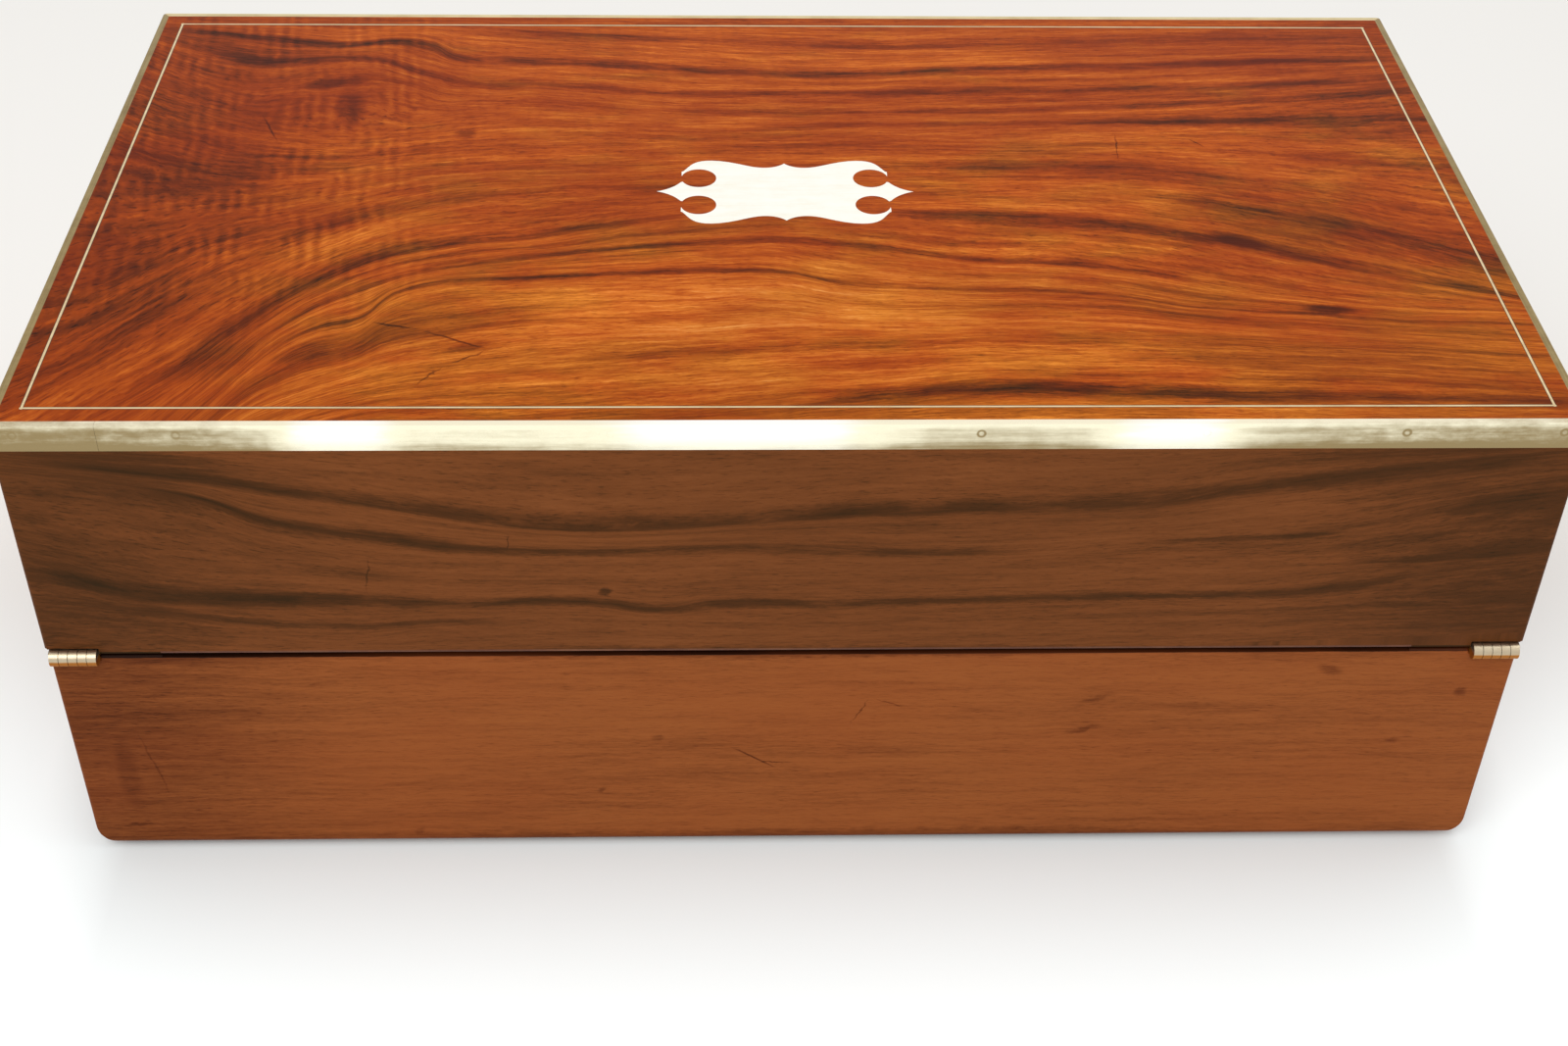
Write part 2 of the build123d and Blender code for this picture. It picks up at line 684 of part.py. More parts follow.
# Writing flap and its ledges: the base's lies under the seam, the lid's over it
flap_half = inner_half_length - flap_side_clearance
rail_along = along_seam(inner_lock_y - lock_rail_width)


def writing_flap(free_along, lid_side):
    """Board and leather of a flap from the fold to its free edge, and the leather's bed."""
    sign = 1 if lid_side else -1
    face = sign * face_clearance
    back = sign * flap_back
    board = seam_block((-flap_half, flap_half), (flap_edge_along, free_along), sorted((face, back)))
    leather_y = (flap_edge_along, free_along - flap_free_border)
    leather_z = sorted((face, sign * leaf_top))
    leather = seam_block(leather_x, leather_y, leather_z)
    for place in lid_small if lid_side else base_small:
        board = board - place * small_pocket
    return board - leather, leather


def ledge(far_y, lid_side):
    """Ledge along the right wall that a flap lies on."""
    sign = 1 if lid_side else -1
    start = sign * (flap_back + flap_rest_clearance)
    z_limits = sorted((start, start + sign * ledge_depth))
    bar = seam_block((inner_half_length - ledge_width, inner_half_length), (-far, far), z_limits)
    return bar & block((-far, far), (inner_hinge_y, far_y), (lining_top, lid_wall_top - lining_thickness))


base_board, base_leather = writing_flap(flap_free_along, False)
parts["base_flap_board"] = base_board
parts["base_flap_leather"] = base_leather
base_ledge = ledge(divider_near_y, False)
parts["base_ledges"] = both_ends(base_ledge)

lid_free_along = rail_along - flap_side_clearance
lid_board, lid_leather = writing_flap(lid_free_along, True)
parts["lid_flap_board"] = lid_board
parts["lid_flap_leather"] = lid_leather
lid_ledge = ledge(inner_lock_y - lock_rail_width - rail_lip_width, True)
parts["lid_ledges"] = both_ends(lid_ledge)

# Leather strips that carry the writing surface over the two hinge walls
wall_face_along = hinge_axis_proud / cos(slope)
base_strip_y = (wall_face_along + lid_overhang + fold_strip_setback, wall_along)
parts["base_fold_strip"] = seam_block(leather_x, base_strip_y, (-leaf_top, -face_clearance))
lid_strip_y = (wall_face_along, wall_along)
lid_strip = seam_block(leather_x, lid_strip_y, (face_clearance, leaf_top))
parts["lid_fold_strip"] = lid_strip & block((-far, far), (-half_depth, far), (0, box_height))

# Lid: four mitred walls, top board, lining, rail and turn-button
link_bed = selvedge(-cut_run_out, seam_gap + lock_plate_thickness)
lid_fixed_beds = [place * small_pocket for place in lid_small]
lid_cuts = {
    "hinge": [strip_bed, *lid_fixed_beds, *lid_hinge_cuts, *[mirrored(cut) for cut in lid_hinge_cuts]],
    "lock": [link_bed, *[place * main_screw for place in lid_lock_places]],
    "left": [mirrored(cut) for cut in lid_hinge_cuts],
    "right": lid_hinge_cuts,
}
lid_walls = mitred_frame(half_length, half_depth, inner_x, inner_y, 0, lid_wall_top)
for side, wall in lid_walls.items():
    wall = over_seam(wall & lid_outside, hinge_wall_relief if side == "hinge" else seam_gap)
    for cut in lid_cuts[side]:
        wall = wall - cut
    parts["lid_" + side + "_wall"] = wall

lid_lining_z = (lid_wall_top - lining_thickness, lid_wall_top)
parts["lid_lining"] = block(inner_x, inner_y, lid_lining_z)

rail_y = (inner_lock_y - lock_rail_width, inner_lock_y)
rail = seam_block(inner_x, (0, far), (face_clearance, flap_back + flap_rest_clearance))
rail = rail & block((-far, far), rail_y, (0, box_height))
lip_z = (flap_back + flap_rest_clearance, flap_back + flap_rest_clearance + ledge_depth)
lip = seam_block(inner_x, (0, far), lip_z)
lip = lip & block((-far, far), (rail_y[0] - rail_lip_width, inner_lock_y), (0, lid_lining_z[0]))
rail = rail + lip
button_along = along_seam(inner_lock_y) - button_tail - 2 * flap_side_clearance
button_place = seam * Pos(0, button_along, face_clearance - button_gap)
button_plan = SlotCenterToCenter(button_nose - button_width / 2, button_width)
button_plate = extrude(Pos((button_nose - button_width / 2) / 2, 0) * button_plan, -button_thickness)
post_bore = Cylinder(button_post_diameter / 2 + pin_clearance, far)
head_height = button_thickness / 2
head_top = -button_thickness - pin_clearance
button_head = Pos(0, 0, head_top) * extrude(Circle(button_head_diameter / 2), -head_height)
post_section = Circle(button_post_diameter / 2)
button_post = extrude(post_section, button_post_length) + extrude(post_section, head_top - head_height / 2)
button_screw = button_post + button_head
parts["flap_button"] = button_place * (button_plate - post_bore)
parts["flap_button_screw"] = button_place * button_screw
parts["lid_lock_rail"] = rail - button_place * button_post

# Top of the lid: board, brass edging, stringing, cartouche and pins
board_half_x = half_length - edging_thickness
board_half_y = half_depth - edging_thickness
top_board = block((-board_half_x, board_half_x), (-board_half_y, board_half_y), (lid_wall_top, box_height))
line_half_x = half_length - stringing_inset
line_half_y = half_depth - stringing_inset
line_outer = [half + stringing_width / 2 for half in (line_half_x, line_half_y)]
line_opening = [(stringing_width - outer, outer - stringing_width) for outer in line_outer]
lines = mitred_frame(*line_outer, *line_opening, box_height - stringing_depth, box_height)
cartouche = extrude(cartouche_outline(), cartouche_thickness, dir=(0, 0, 1))
cartouche = Pos(0, 0, box_height - cartouche_thickness) * cartouche
for line in lines.values():
    top_board = top_board - line
parts["lid_top_board"] = top_board - cartouche
parts["lid_stringing"] = group(lines.values())
parts["lid_cartouche"] = cartouche


def quadrant(side):
    """Wedge of the plan, from the centre line, that one side's strip lies in."""
    reach = half_length - half_depth
    corner_x = 2 * half_length
    corner_y = corner_x - reach
    if side in ("hinge", "lock"):
        sign = -1 if side == "hinge" else 1
        outline = ((-reach, 0), (reach, 0), (corner_x, sign * corner_y), (-corner_x, sign * corner_y))
    else:
        sign = -1 if side == "left" else 1
        outline = ((sign * reach, 0), (sign * corner_x, corner_y), (sign * corner_x, -corner_y))
    return prism(outline, 0, box_height)


edging_opening = block((-board_half_x, board_half_x), (-board_half_y, board_half_y), (0, box_height))
edging_ring = rounded_plan(half_length, half_depth, corner_radius, lid_wall_top, box_height) - edging_opening
pins = []
pin_radius = pin_head_diameter / 2
pin_z = box_height - pin_drop
for distance in pin_corner_distances:
    for pin_x in (distance - half_length, half_length - distance):
        pins.append(y_cylinder(pin_radius, (-half_depth, -board_half_y), pin_x, pin_z))
        pins.append(y_cylinder(pin_radius, (board_half_y, half_depth), pin_x, pin_z))
for distance in end_pin_corner_distances:
    for pin_y in (distance - half_depth, half_depth - distance):
        pins.append(x_cylinder(pin_radius, (-half_length, -board_half_x), pin_y, pin_z))
        pins.append(x_cylinder(pin_radius, (board_half_x, half_length), pin_y, pin_z))
parts["edging_pins"] = group(pins)
joint_x = -half_length + edging_joint_from_left
joint_cut = block((joint_x, joint_x + edging_joint_gap), (-far, 0), (0, box_height + cut_run_out))
for side in ("hinge", "lock", "left", "right"):
    strip = edging_ring & quadrant(side)
    for pin in pins:
        strip = strip - pin
    if side == "hinge":
        strip = strip - joint_cut
    parts["edging_" + side] = strip

for name, shape in parts.items():
    export_step(shape, "parts/" + name + ".step")
    print(name, len(shape.solids()), round(shape.volume, 1))
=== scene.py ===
"""Dress of a walnut writing slope: woods, brass, leather, baize, paper, glass and steel.

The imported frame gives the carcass, the hardware and the joints. The finishes come first, then one
class for each sub-assembly, which gives its nodes their finishes and builds the soft pieces that
lie on them, and last the studio. Places in finishes are millimetres in the box's own frame (X along
the box, Y from the hinge side to the lock side, Z up), and meshes are in metres.
"""

from __future__ import annotations

import json
import logging
import math
from dataclasses import dataclass, field, replace
from enum import Enum

import bpy
import numpy as np
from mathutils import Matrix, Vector

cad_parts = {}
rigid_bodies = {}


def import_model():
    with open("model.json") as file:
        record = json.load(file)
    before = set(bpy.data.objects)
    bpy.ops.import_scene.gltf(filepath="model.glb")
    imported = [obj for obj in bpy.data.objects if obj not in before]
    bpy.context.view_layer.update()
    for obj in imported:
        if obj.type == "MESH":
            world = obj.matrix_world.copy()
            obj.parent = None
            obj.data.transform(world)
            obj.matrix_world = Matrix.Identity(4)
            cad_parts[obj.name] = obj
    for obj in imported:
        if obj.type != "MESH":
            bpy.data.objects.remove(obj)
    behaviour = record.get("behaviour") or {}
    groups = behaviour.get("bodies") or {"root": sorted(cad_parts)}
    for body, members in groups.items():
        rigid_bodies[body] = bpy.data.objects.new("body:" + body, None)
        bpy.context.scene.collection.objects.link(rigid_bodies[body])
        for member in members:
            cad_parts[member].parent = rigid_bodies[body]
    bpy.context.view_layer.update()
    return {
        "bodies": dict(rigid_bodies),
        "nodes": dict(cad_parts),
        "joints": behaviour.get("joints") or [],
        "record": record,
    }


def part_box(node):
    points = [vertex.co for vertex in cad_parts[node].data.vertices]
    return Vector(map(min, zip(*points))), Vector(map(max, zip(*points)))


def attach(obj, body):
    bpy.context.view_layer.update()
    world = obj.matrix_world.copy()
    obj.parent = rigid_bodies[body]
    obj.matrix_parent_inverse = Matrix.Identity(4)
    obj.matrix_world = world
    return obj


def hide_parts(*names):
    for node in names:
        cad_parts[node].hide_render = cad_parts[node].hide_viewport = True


LOG = logging.getLogger("writing_slope")
MM = 0.001

# Guides and painted highlights run from -FACE_END to FACE_END along X, just past the box's two ends.
FACE_END = 204.0

Place = tuple[float, float]
Pair = tuple[float, float]
Triple = tuple[float, float, float]
Rgb = tuple[float, float, float]
Tones = tuple[tuple[float, Rgb], ...]


class Axis(Enum):
    """Direction of the box that a pattern runs in."""

    X = 0
    Y = 1
    Z = 2


class Slot(Enum):
    """Finish of the record that a new piece takes its colour from."""

    LEATHER = "writing_leather"
    BAIZE = "baize"


class Body(Enum):
    """Rigid body of the box."""

    BASE = "base"
    LID = "lid"
    BASE_FLAP = "base_flap"
    LID_FLAP = "lid_flap"


def linear(colour: Rgb) -> tuple[float, float, float, float]:
    """Screen colour as the light it stands for.

    Each channel goes through the screen's curve backwards: a straight part near black and a
    power of 2.4 above it.

    Args:
        colour: Red, green and blue, 0 to 255.

    Returns:
        Red, green, blue and opacity, 0 to 1.
    """
    channels = np.asarray(colour, float) / 255
    low = channels / 12.92
    high = ((channels + 0.055) / 1.055) ** 2.4
    red, green, blue = np.where(channels <= 0.04045, low, high)
    return float(red), float(green), float(blue), 1.0


def face_share(place: Field | float) -> Field | float:
    """A place along X as a share of the run from -FACE_END to FACE_END."""
    return place / (2 * FACE_END) + 0.5


def add_object(name: str, data: bpy.types.ID) -> bpy.types.Object:
    """Object with a mesh, lamp or camera as its data, added to the scene.

    Args:
        name: Its name.
        data: The mesh, lamp or camera.

    Returns:
        The object.
    """
    made = bpy.data.objects.new(name, data)
    bpy.context.scene.collection.objects.link(made)
    return made


class Field:
    """A value or vector in a graph of nodes that ordinary arithmetic works on."""

    def __init__(self, graph: Graph, socket: bpy.types.NodeSocket) -> None:
        """Keeps the graph and the socket that the value comes out of."""
        self.graph = graph
        self.socket = socket

    def __add__(self, other: Field | float) -> Field:
        """Sum."""
        return self.graph.maths("ADD", self, other)

    def __sub__(self, other: Field | float) -> Field:
        """Difference."""
        return self.graph.maths("SUBTRACT", self, other)

    def __rsub__(self, other: float) -> Field:
        """Difference from a number."""
        return self.graph.maths("SUBTRACT", other, self)

    def __mul__(self, other: Field | float) -> Field:
        """Product."""
        return self.graph.maths("MULTIPLY", self, other)

    def __truediv__(self, other: Field | float) -> Field:
        """Quotient."""
        return self.graph.maths("DIVIDE", self, other)

    __radd__ = __add__
    __rmul__ = __mul__

    def size(self) -> Field:
        """Distance from zero."""
        return self.graph.maths("ABSOLUTE", self)

    def sine(self) -> Field:
        """Sine of the value in radians."""
        return self.graph.maths("SINE", self)

    def larger(self, other: Field | float) -> Field:
        """The larger of two values."""
        return self.graph.maths("MAXIMUM", self, other)

    def smaller(self, other: Field | float) -> Field:
        """The smaller of two values."""
        return self.graph.maths("MINIMUM", self, other)


class Graph:
    """Nodes of a material or of the world, with short calls for the ones that are used most."""

    def __init__(self, tree: bpy.types.NodeTree, shader: str) -> None:
        """Keeps the tree and finds its shader.

        Args:
            tree: The nodes of the material or world.
            shader: Name of the shader's node in the tree.
        """
        self.tree = tree
        self.shader = tree.nodes[shader]

    def node(self, kind: str, inputs: dict[str | int, object], **settings: object) -> bpy.types.Node:
        """Adds a node.

        Args:
            kind: The node's type.
            inputs: Values or fields for its sockets, by name or number.
            **settings: Its other properties.

        Returns:
            The node.
        """
        made = self.tree.nodes.new(kind)
        for key, value in settings.items():
            setattr(made, key, value)
        for key, value in inputs.items():
            self.feed(made.inputs[key], value)
        return made

    def feed(self, socket: bpy.types.NodeSocket, value: object) -> None:
        """Links a field to a socket, or sets the socket's own value.

        Args:
            socket: The socket.
            value: The field or value.
        """
        if isinstance(value, Field):
            self.tree.links.new(value.socket, socket)
        else:
            socket.default_value = value

    def value(
        self, kind: str, inputs: dict[str | int, object], output: str | int = 0, **settings: object
    ) -> Field:
        """Adds a node, as node does, and gives one of its outputs."""
        return Field(self, self.node(kind, inputs, **settings).outputs[output])

    def maths(self, operation: str, *values: Field | float) -> Field:
        """Arithmetic on one or two values."""
        return self.value("ShaderNodeMath", dict(enumerate(values)), operation=operation)

    def place(self) -> tuple[Field, Field, Field]:
        """The point on the piece, in mm along X, Y and Z.

        Returns:
            Its three coordinates.
        """
        source = self.value("ShaderNodeTexCoord", {}, "Object")
        scaled = self.value("ShaderNodeVectorMath", {0: source, "Scale": 1 / MM}, operation="SCALE")
        parts = self.node("ShaderNodeSeparateXYZ", {0: scaled})
        x, y, z = (Field(self, out) for out in parts.outputs)
        return x, y, z

    def sheet_place(self) -> tuple[Field, Field]:
        """The point on a soft sheet from its own map, in mm.

        Returns:
            Its places along and across the sheet.
        """
        source = self.value("ShaderNodeUVMap", {}, uv_map="UVMap")
        parts = self.node("ShaderNodeSeparateXYZ", {0: source})
        return Field(self, parts.outputs[0]) / MM, Field(self, parts.outputs[1]) / MM

    def seen(self) -> Field:
        """1 for rays from the camera, from a gloss or through glass, and 0 for the rest.

        Returns:
            The 1 or 0.
        """
        path = self.node("ShaderNodeLightPath", {})
        kinds = ("Is Camera Ray", "Is Glossy Ray", "Is Transmission Ray")
        camera, gloss, glass = (Field(self, path.outputs[kind]) for kind in kinds)
        return camera.larger(gloss).larger(glass)

    def vector(self, x: Field | float, y: Field | float, z: Field | float = 0.0) -> Field:
        """Three values as one vector."""
        return self.value("ShaderNodeCombineXYZ", {0: x, 1: y, 2: z})

    def noise(
        self, point: tuple[Field, ...], sizes: tuple[float, ...], detail: float = 2.0, roughness: float = 0.5
    ) -> Field:
        """Cloudy noise about zero.

        Args:
            point: Two or three coordinates.
            sizes: Size of the clouds along each of them.
            detail: Number of finer layers in the clouds.
            roughness: Strength of each finer layer, from 0 to 1.

        Returns:
            The noise.
        """
        scaled = self.vector(*(value / size for value, size in zip(point, sizes)))
        sockets = {"Vector": scaled, "Scale": 1.0, "Detail": detail, "Roughness": roughness}
        return self.value("ShaderNodeTexNoise", sockets) - 0.5

    def cells(self, place: Field) -> Field:
        """Distance to the nearest of scattered points, one unit apart."""
        return self.value("ShaderNodeTexVoronoi", {"Vector": place, "Scale": 1.0}, "Distance")

    def ease(
        self, value: Field, start: float, end: float, low: float = 0.0, high: float = 1.0
    ) -> Field:
        """Smooth step of a value from low at start to high at end.

        Args:
            value: The value.
            start: Where the step starts.
            end: Where it ends. It may be less than the start.
            low: The step's height at the start and before it.
            high: Its height at the end and past it.

        Returns:
            The step's height at the value.
        """
        sockets = {
            "Value": value,
            "From Min": min(start, end),
            "From Max": max(start, end),
            "To Min": low if start < end else high,
            "To Max": high if start < end else low,
        }
        return self.value("ShaderNodeMapRange", sockets, interpolation_type="SMOOTHSTEP")

    def hump(self, value: Field, centre: float, reach: float, soft: float, height: float) -> Field:
        """Height within a reach of the centre, easing to zero over the last, soft part."""
        return self.ease((value - centre).size(), reach - soft, reach, height, 0.0)

    def curve(self, value: Field, points: tuple[Pair, ...]) -> Field:
        """Smooth curve through points, both of whose coordinates lie from 0 to 1.

        Args:
            value: The value, from 0 to 1.
            points: The points, from left to right.

        Returns:
            The curve's height at the value.
        """
        made = self.node("ShaderNodeFloatCurve", {"Value": value})
        knots = made.mapping.curves[0].points
        for knot, point in zip(knots, (points[0], points[-1])):
            knot.location = point
        for point in points[1:-1]:
            knots.new(*point)
        made.mapping.update()
        return Field(self, made.outputs[0])

    def ramp(self, value: Field, stops: Tones) -> Field:
        """Colour of a value, between stops of share and colour.

        Args:
            value: The value, from 0 to 1.
            stops: The stops, from the lowest share up.

        Returns:
            The colour.
        """
        made = self.node("ShaderNodeValToRGB", {0: value})
        elements = made.color_ramp.elements
        while len(elements) < len(stops):
            elements.new(1.0)
        for element, (share, colour) in zip(elements, stops):
            element.position = share
            element.color = linear(colour)
        return Field(self, made.outputs[0])

    def blend(self, share: Field, first: Field | Rgb, second: Field | Rgb) -> Field:
        """Colour between two, by a share from 0 to 1.

        Args:
            share: Share of the second colour.
            first: The first colour.
            second: The second one.

        Returns:
            The colour.
        """
        made = self.node("ShaderNodeMix", {0: share}, data_type="RGBA")
        for number, colour in ((6, first), (7, second)):
            self.feed(made.inputs[number], colour if isinstance(colour, Field) else linear(colour))
        return Field(self, made.outputs[2])

    def set_shader(self, **sockets: object) -> None:
        """Sets the shader's sockets, whose names have underscores for spaces."""
        for name, value in sockets.items():
            self.feed(self.shader.inputs[name.replace("_", " ")], value)


class MaterialGraph(Graph):
    """Nodes of one new material."""

    def __init__(self, name: str) -> None:
        """Makes the material.

        Args:
            name: Its name.
        """
        self.material = bpy.data.materials.new(name)
        self.material.use_nodes = True
        super().__init__(self.material.node_tree, "Principled BSDF")

    def relief(self, height: Field, depth: float) -> None:
        """Gives the shader a relief, whose unit height is so many mm deep."""
        sockets = {"Height": height, "Distance": depth * MM, "Strength": 1.0}
        self.feed(self.shader.inputs["Normal"], self.value("ShaderNodeBump", sockets))

    def finish(self, **sockets: object) -> bpy.types.Material:
        """Sets the shader's sockets and gives the material."""
        self.set_shader(**sockets)
        return self.material


@dataclass(frozen=True)
class Guide:
    """Line of the grain across a face.

    Attributes:
        level: Value of the grain's own coordinate along the line.
        points: Places on the face that the line passes, from one end of the board to the other.
    """

    level: float
    points: tuple[Place, ...]


@dataclass(frozen=True)
class Streak:
    """Dark stripe of the figure, along the grain.

    Attributes:
        level: The grain's own coordinate at its middle.
        half_width: Half of its width.
        depth: How much it darkens the tone.
        start: Where it starts along the face.
        end: Where it ends along the face.
    """

    level: float
    half_width: float
    depth: float
    start: float
    end: float


@dataclass(frozen=True)
class Mark:
    """Oval spot, or a thin scratch, that darkens the tone.

    Attributes:
        centre: Its middle on the face.
        half_size: Half of its length and of its width.
        turn: Its turn from the face's length, in degrees.
        depth: How much it darkens the tone, or less than 0 to lighten it.
    """

    centre: Place
    half_size: Pair
    turn: float
    depth: float

    @classmethod
    def between(cls, first: Place, last: Place, half_width: float, depth: float) -> Mark:
        """Scratch from one place to another.

        Args:
            first: Its first end.
            last: Its other end.
            half_width: Half of its width.
            depth: How much it darkens the tone.

        Returns:
            The mark.
        """
        run = (last[0] - first[0], last[1] - first[1])
        middle = ((first[0] + last[0]) / 2, (first[1] + last[1]) / 2)
        size = (math.hypot(*run) / 2 + half_width, half_width)
        return cls(middle, size, math.degrees(math.atan2(run[1], run[0])), depth)


@dataclass(frozen=True)
class Ripple:
    """Cross ripple of a figured board.

    Attributes:
        pitch: Distance from one ripple to the next.
        lean: How far a ripple leans along the face for each mm across it.
        depth: How much it changes the tone.
        ends: Places along the face where it stops being whole and where it is faint.
        sides: Places across the face where it is faint and where it is whole.
        faint: Shares of it that are left past its end and past its side.
    """

    pitch: float
    lean: float
    depth: float
    ends: Pair
    sides: Pair
    faint: Pair = (0.14, 0.2)


@dataclass(frozen=True)
class WoodFinish:
    """Polished wood with its grain along one direction of the box.

    Attributes:
        name: The material's name.
        tones: Colours from the darkest streak to the lightest wood, by share.
        along: Direction of the grain.
        across: Direction across the grain on the main face.
        rough: Roughness of the polish.
        bend: Refractive index of the polish.
        gloss: Level of the polish's own reflection.
        coat: Weight of the clear coat.
        bands: Change of tone by broad bands, streaks and fine lines.
        band_widths: Widths of those three across the grain.
        band_lengths: Their lengths along the grain.
        guides: Lines that the grain follows, from the lowest level up. None is straight grain.
        reach: Distance across the face that no guide's point lies past.
        streaks: Dark stripes.
        streak_fade: Length over which a stripe fades out at its ends.
        marks: Spots and scratches.
        swells: Places where the grain bulges across the face, as marks whose depth is the rise in mm.
        ripple: Cross ripple, if it has one.
        base_tone: Tone of the plain wood, from 0 to 1.
        wander: How far the grain wanders from its guides, in mm.
        pore_depth: How much the pores darken the tone.
        stain: Colour that clouds of old polish lean to.
        stain_share: Weight of that stain.
        seam: Places across the face where the dirt and painted shade of a joint start and are whole, and
            their depth.
        golden_tones: Colours of golden patches, by the same shares as the tones.
        golden_fade: Places along the face where those patches are faint and where they are whole.
        golden_lean: How much rarer each mm across the face makes them.
    """

    name: str
    tones: Tones
    along: Axis
    across: Axis
    rough: float = 0.42
    bend: float = 1.5
    gloss: float = 0.03
    coat: float = 0.02
    bands: Triple = (0.30, 0.30, 0.22)
    band_widths: Triple = (9.0, 2.6, 0.7)
    band_lengths: Triple = (120.0, 50.0, 11.0)
    guides: tuple[Guide, ...] = ()
    reach: float = 300.0
    streaks: tuple[Streak, ...] = ()
    streak_fade: float = 26.0
    marks: tuple[Mark, ...] = ()
    swells: tuple[Mark, ...] = ()
    ripple: Ripple | None = None
    base_tone: float = 0.55
    wander: float = 3.5
    pore_depth: float = 0.16
    stain: Rgb = (88, 34, 16)
    stain_share: float = 0.25
    seam: Triple | None = None
    golden_tones: Tones = ()
    golden_fade: Pair = (-170.0, -105.0)
    golden_lean: float = 0.0014

    def axes(self, graph: Graph) -> tuple[Field, Field, Field]:
        """The point along the grain, across it on the face, and into the board.

        Args:
            graph: The material's nodes.

        Returns:
            Those three coordinates, in mm.
        """
        place = graph.place()
        depth = next(axis for axis in Axis if axis not in (self.along, self.across))
        return place[self.along.value], place[self.across.value], place[depth.value]

    def spot(self, graph: Graph, face: Field, mark: Mark) -> Field:
        """A mark's depth at the point: whole at its middle and none at its oval edge.

        Args:
            graph: The material's nodes.
            face: The point on the face, as a vector.
            mark: The mark.

        Returns:
            The depth.
        """
        sockets = {
            "Vector": face,
            "Location": (*mark.centre, 0.0),
            "Rotation": (0.0, 0.0, math.radians(mark.turn)),
            "Scale": (*mark.half_size, 1.0),
        }
        turned = graph.value("ShaderNodeMapping", sockets, vector_type="TEXTURE")
        reach = graph.value("ShaderNodeVectorMath", {0: turned}, "Value", operation="LENGTH")
        return graph.ease(reach, 0.25, 1.0, mark.depth, 0.0)

    def flow(self, graph: Graph, along: Field, across: Field) -> Field:
        """The grain's own coordinate at the point.

        Between two guides it goes evenly from the one's level to the other's, so its level
        lines follow the guides and pass gradually from one's shape to the next one's.

        Args:
            graph: The material's nodes.
            along: Place along the face.
            across: Place across the face.

        Returns:
            The coordinate, in mm at the middle of the face.
        """
        if not self.guides:
            return across
        share = face_share(along)
        height = across / (2 * self.reach) + 0.5
        total: Field | float = self.guides[0].level
        line: Field | None = None
        level = total
        for guide in self.guides:
            knots = tuple((face_share(x), y / (2 * self.reach) + 0.5) for x, y in guide.points)
            next_line = graph.curve(share, knots)
            if line is not None:
                sockets = {
                    "Value": height,
                    "From Min": line,
                    "From Max": next_line,
                    "To Min": 0.0,
                    "To Max": guide.level - level,
                }
                total = graph.value("ShaderNodeMapRange", sockets) + total
            line, level = next_line, guide.level
        return total

    def tone(self, graph: Graph) -> Field:
        """Tone of the wood.

        The tone is the plain wood's, plus noise drawn out along the grain at three widths and the
        ripple, less the streaks, the marks, the dirt and painted shade of a joint, and the pores.

        Args:
            graph: The material's nodes.

        Returns:
            The tone. The colours use it from 0 to 1.
        """
        along, across, depth = self.axes(graph)
        shake = graph.noise((along, across, depth), (5, 5, 5), 3.0, 0.65)
        face = graph.vector(along + shake * 3.0, across - shake * 3.0)
        wander = graph.noise((along, across, depth), (45, 22, 22), 3.0)
        for swell in self.swells:
            across = across - self.spot(graph, face, swell)
        grain = self.flow(graph, along, across + wander * self.wander)
        tremble = graph.noise((along, grain, depth), (9, 5, 5), 3.0, 0.6)
        grain = grain + tremble * (self.wander * 0.3)
        fray = graph.noise((along, grain, depth), (2.2, 1.1, 1.1), 2.0, 0.6)
        frayed = grain + fray * 0.9
        tone: Field | float = self.base_tone
        for share, width, length in zip(self.bands, self.band_widths, self.band_lengths):
            noise = graph.noise((along, frayed, depth), (length, width, width), 3.0, 0.65)
            tone = noise * (2 * share) + tone
        if self.streaks:
            broken = graph.noise((along, grain, depth), (21, 5, 5), 3.0, 0.6)
            tone = tone - self.stripes(graph, along, frayed) * (broken * 1.9 + 0.78).larger(0.25)
        for mark in self.marks:
            tone = tone - self.spot(graph, face, mark)
        if self.ripple:
            tone = tone + self.ripples(graph, along, across, wander)
        # Dirt and painted shade along the joint at the seam.
        if self.seam:
            start, whole, dirt = self.seam
            tone = tone - graph.ease(across + shake * 0.5, start, whole, 0.0, dirt)
        pores = graph.noise((along, grain, depth), (3.2, 0.24, 0.24), 1.0)
        pores = graph.ease(pores, 0.06, 0.24)
        return tone - pores * self.pore_depth

    def stripes(self, graph: Graph, along: Field, grain: Field) -> Field | float:
        """Sum of the dark stripes: each is a hump across the grain that fades out at its two ends.

        Args:
            graph: The material's nodes.
            along: Place along the face.
            grain: The grain's own coordinate.

        Returns:
            How much they darken the tone.
        """
        total: Field | float = 0.0
        for streak in self.streaks:
            reach = streak.half_width * 1.25
            stripe = graph.hump(grain, streak.level, reach, reach, streak.depth)
            middle = (streak.start + streak.end) / 2
            half = (streak.end - streak.start) / 2
            total = stripe * graph.hump(along, middle, half, min(half, self.streak_fade), 1.0) + total
        return total

    def ripples(self, graph: Graph, along: Field, across: Field, wander: Field) -> Field:
        """Change of tone by the ripple: a sine along the face that wanders and comes and goes.

        Args:
            graph: The material's nodes.
            along: Place along the face.
            across: Place across the face.
            wander: The grain's wandering, about zero.

        Returns:
            The change.
        """
        ripple = self.ripple
        jitter = graph.noise((along, across), (7, 9), 4.0, 0.65)
        phase = (along + across * ripple.lean + wander * 5.0 + jitter * 5.0) * (2 * math.pi / ripple.pitch)
        patches = graph.ease(graph.noise((along, across), (14, 12), 4.0, 0.6), -0.1, 0.16)
        fade = graph.ease(along, *ripple.ends, 1.0, ripple.faint[0])
        fade = fade * graph.ease(across, *ripple.sides, ripple.faint[1], 1.0)
        return phase.sine() * (patches * fade) * ripple.depth

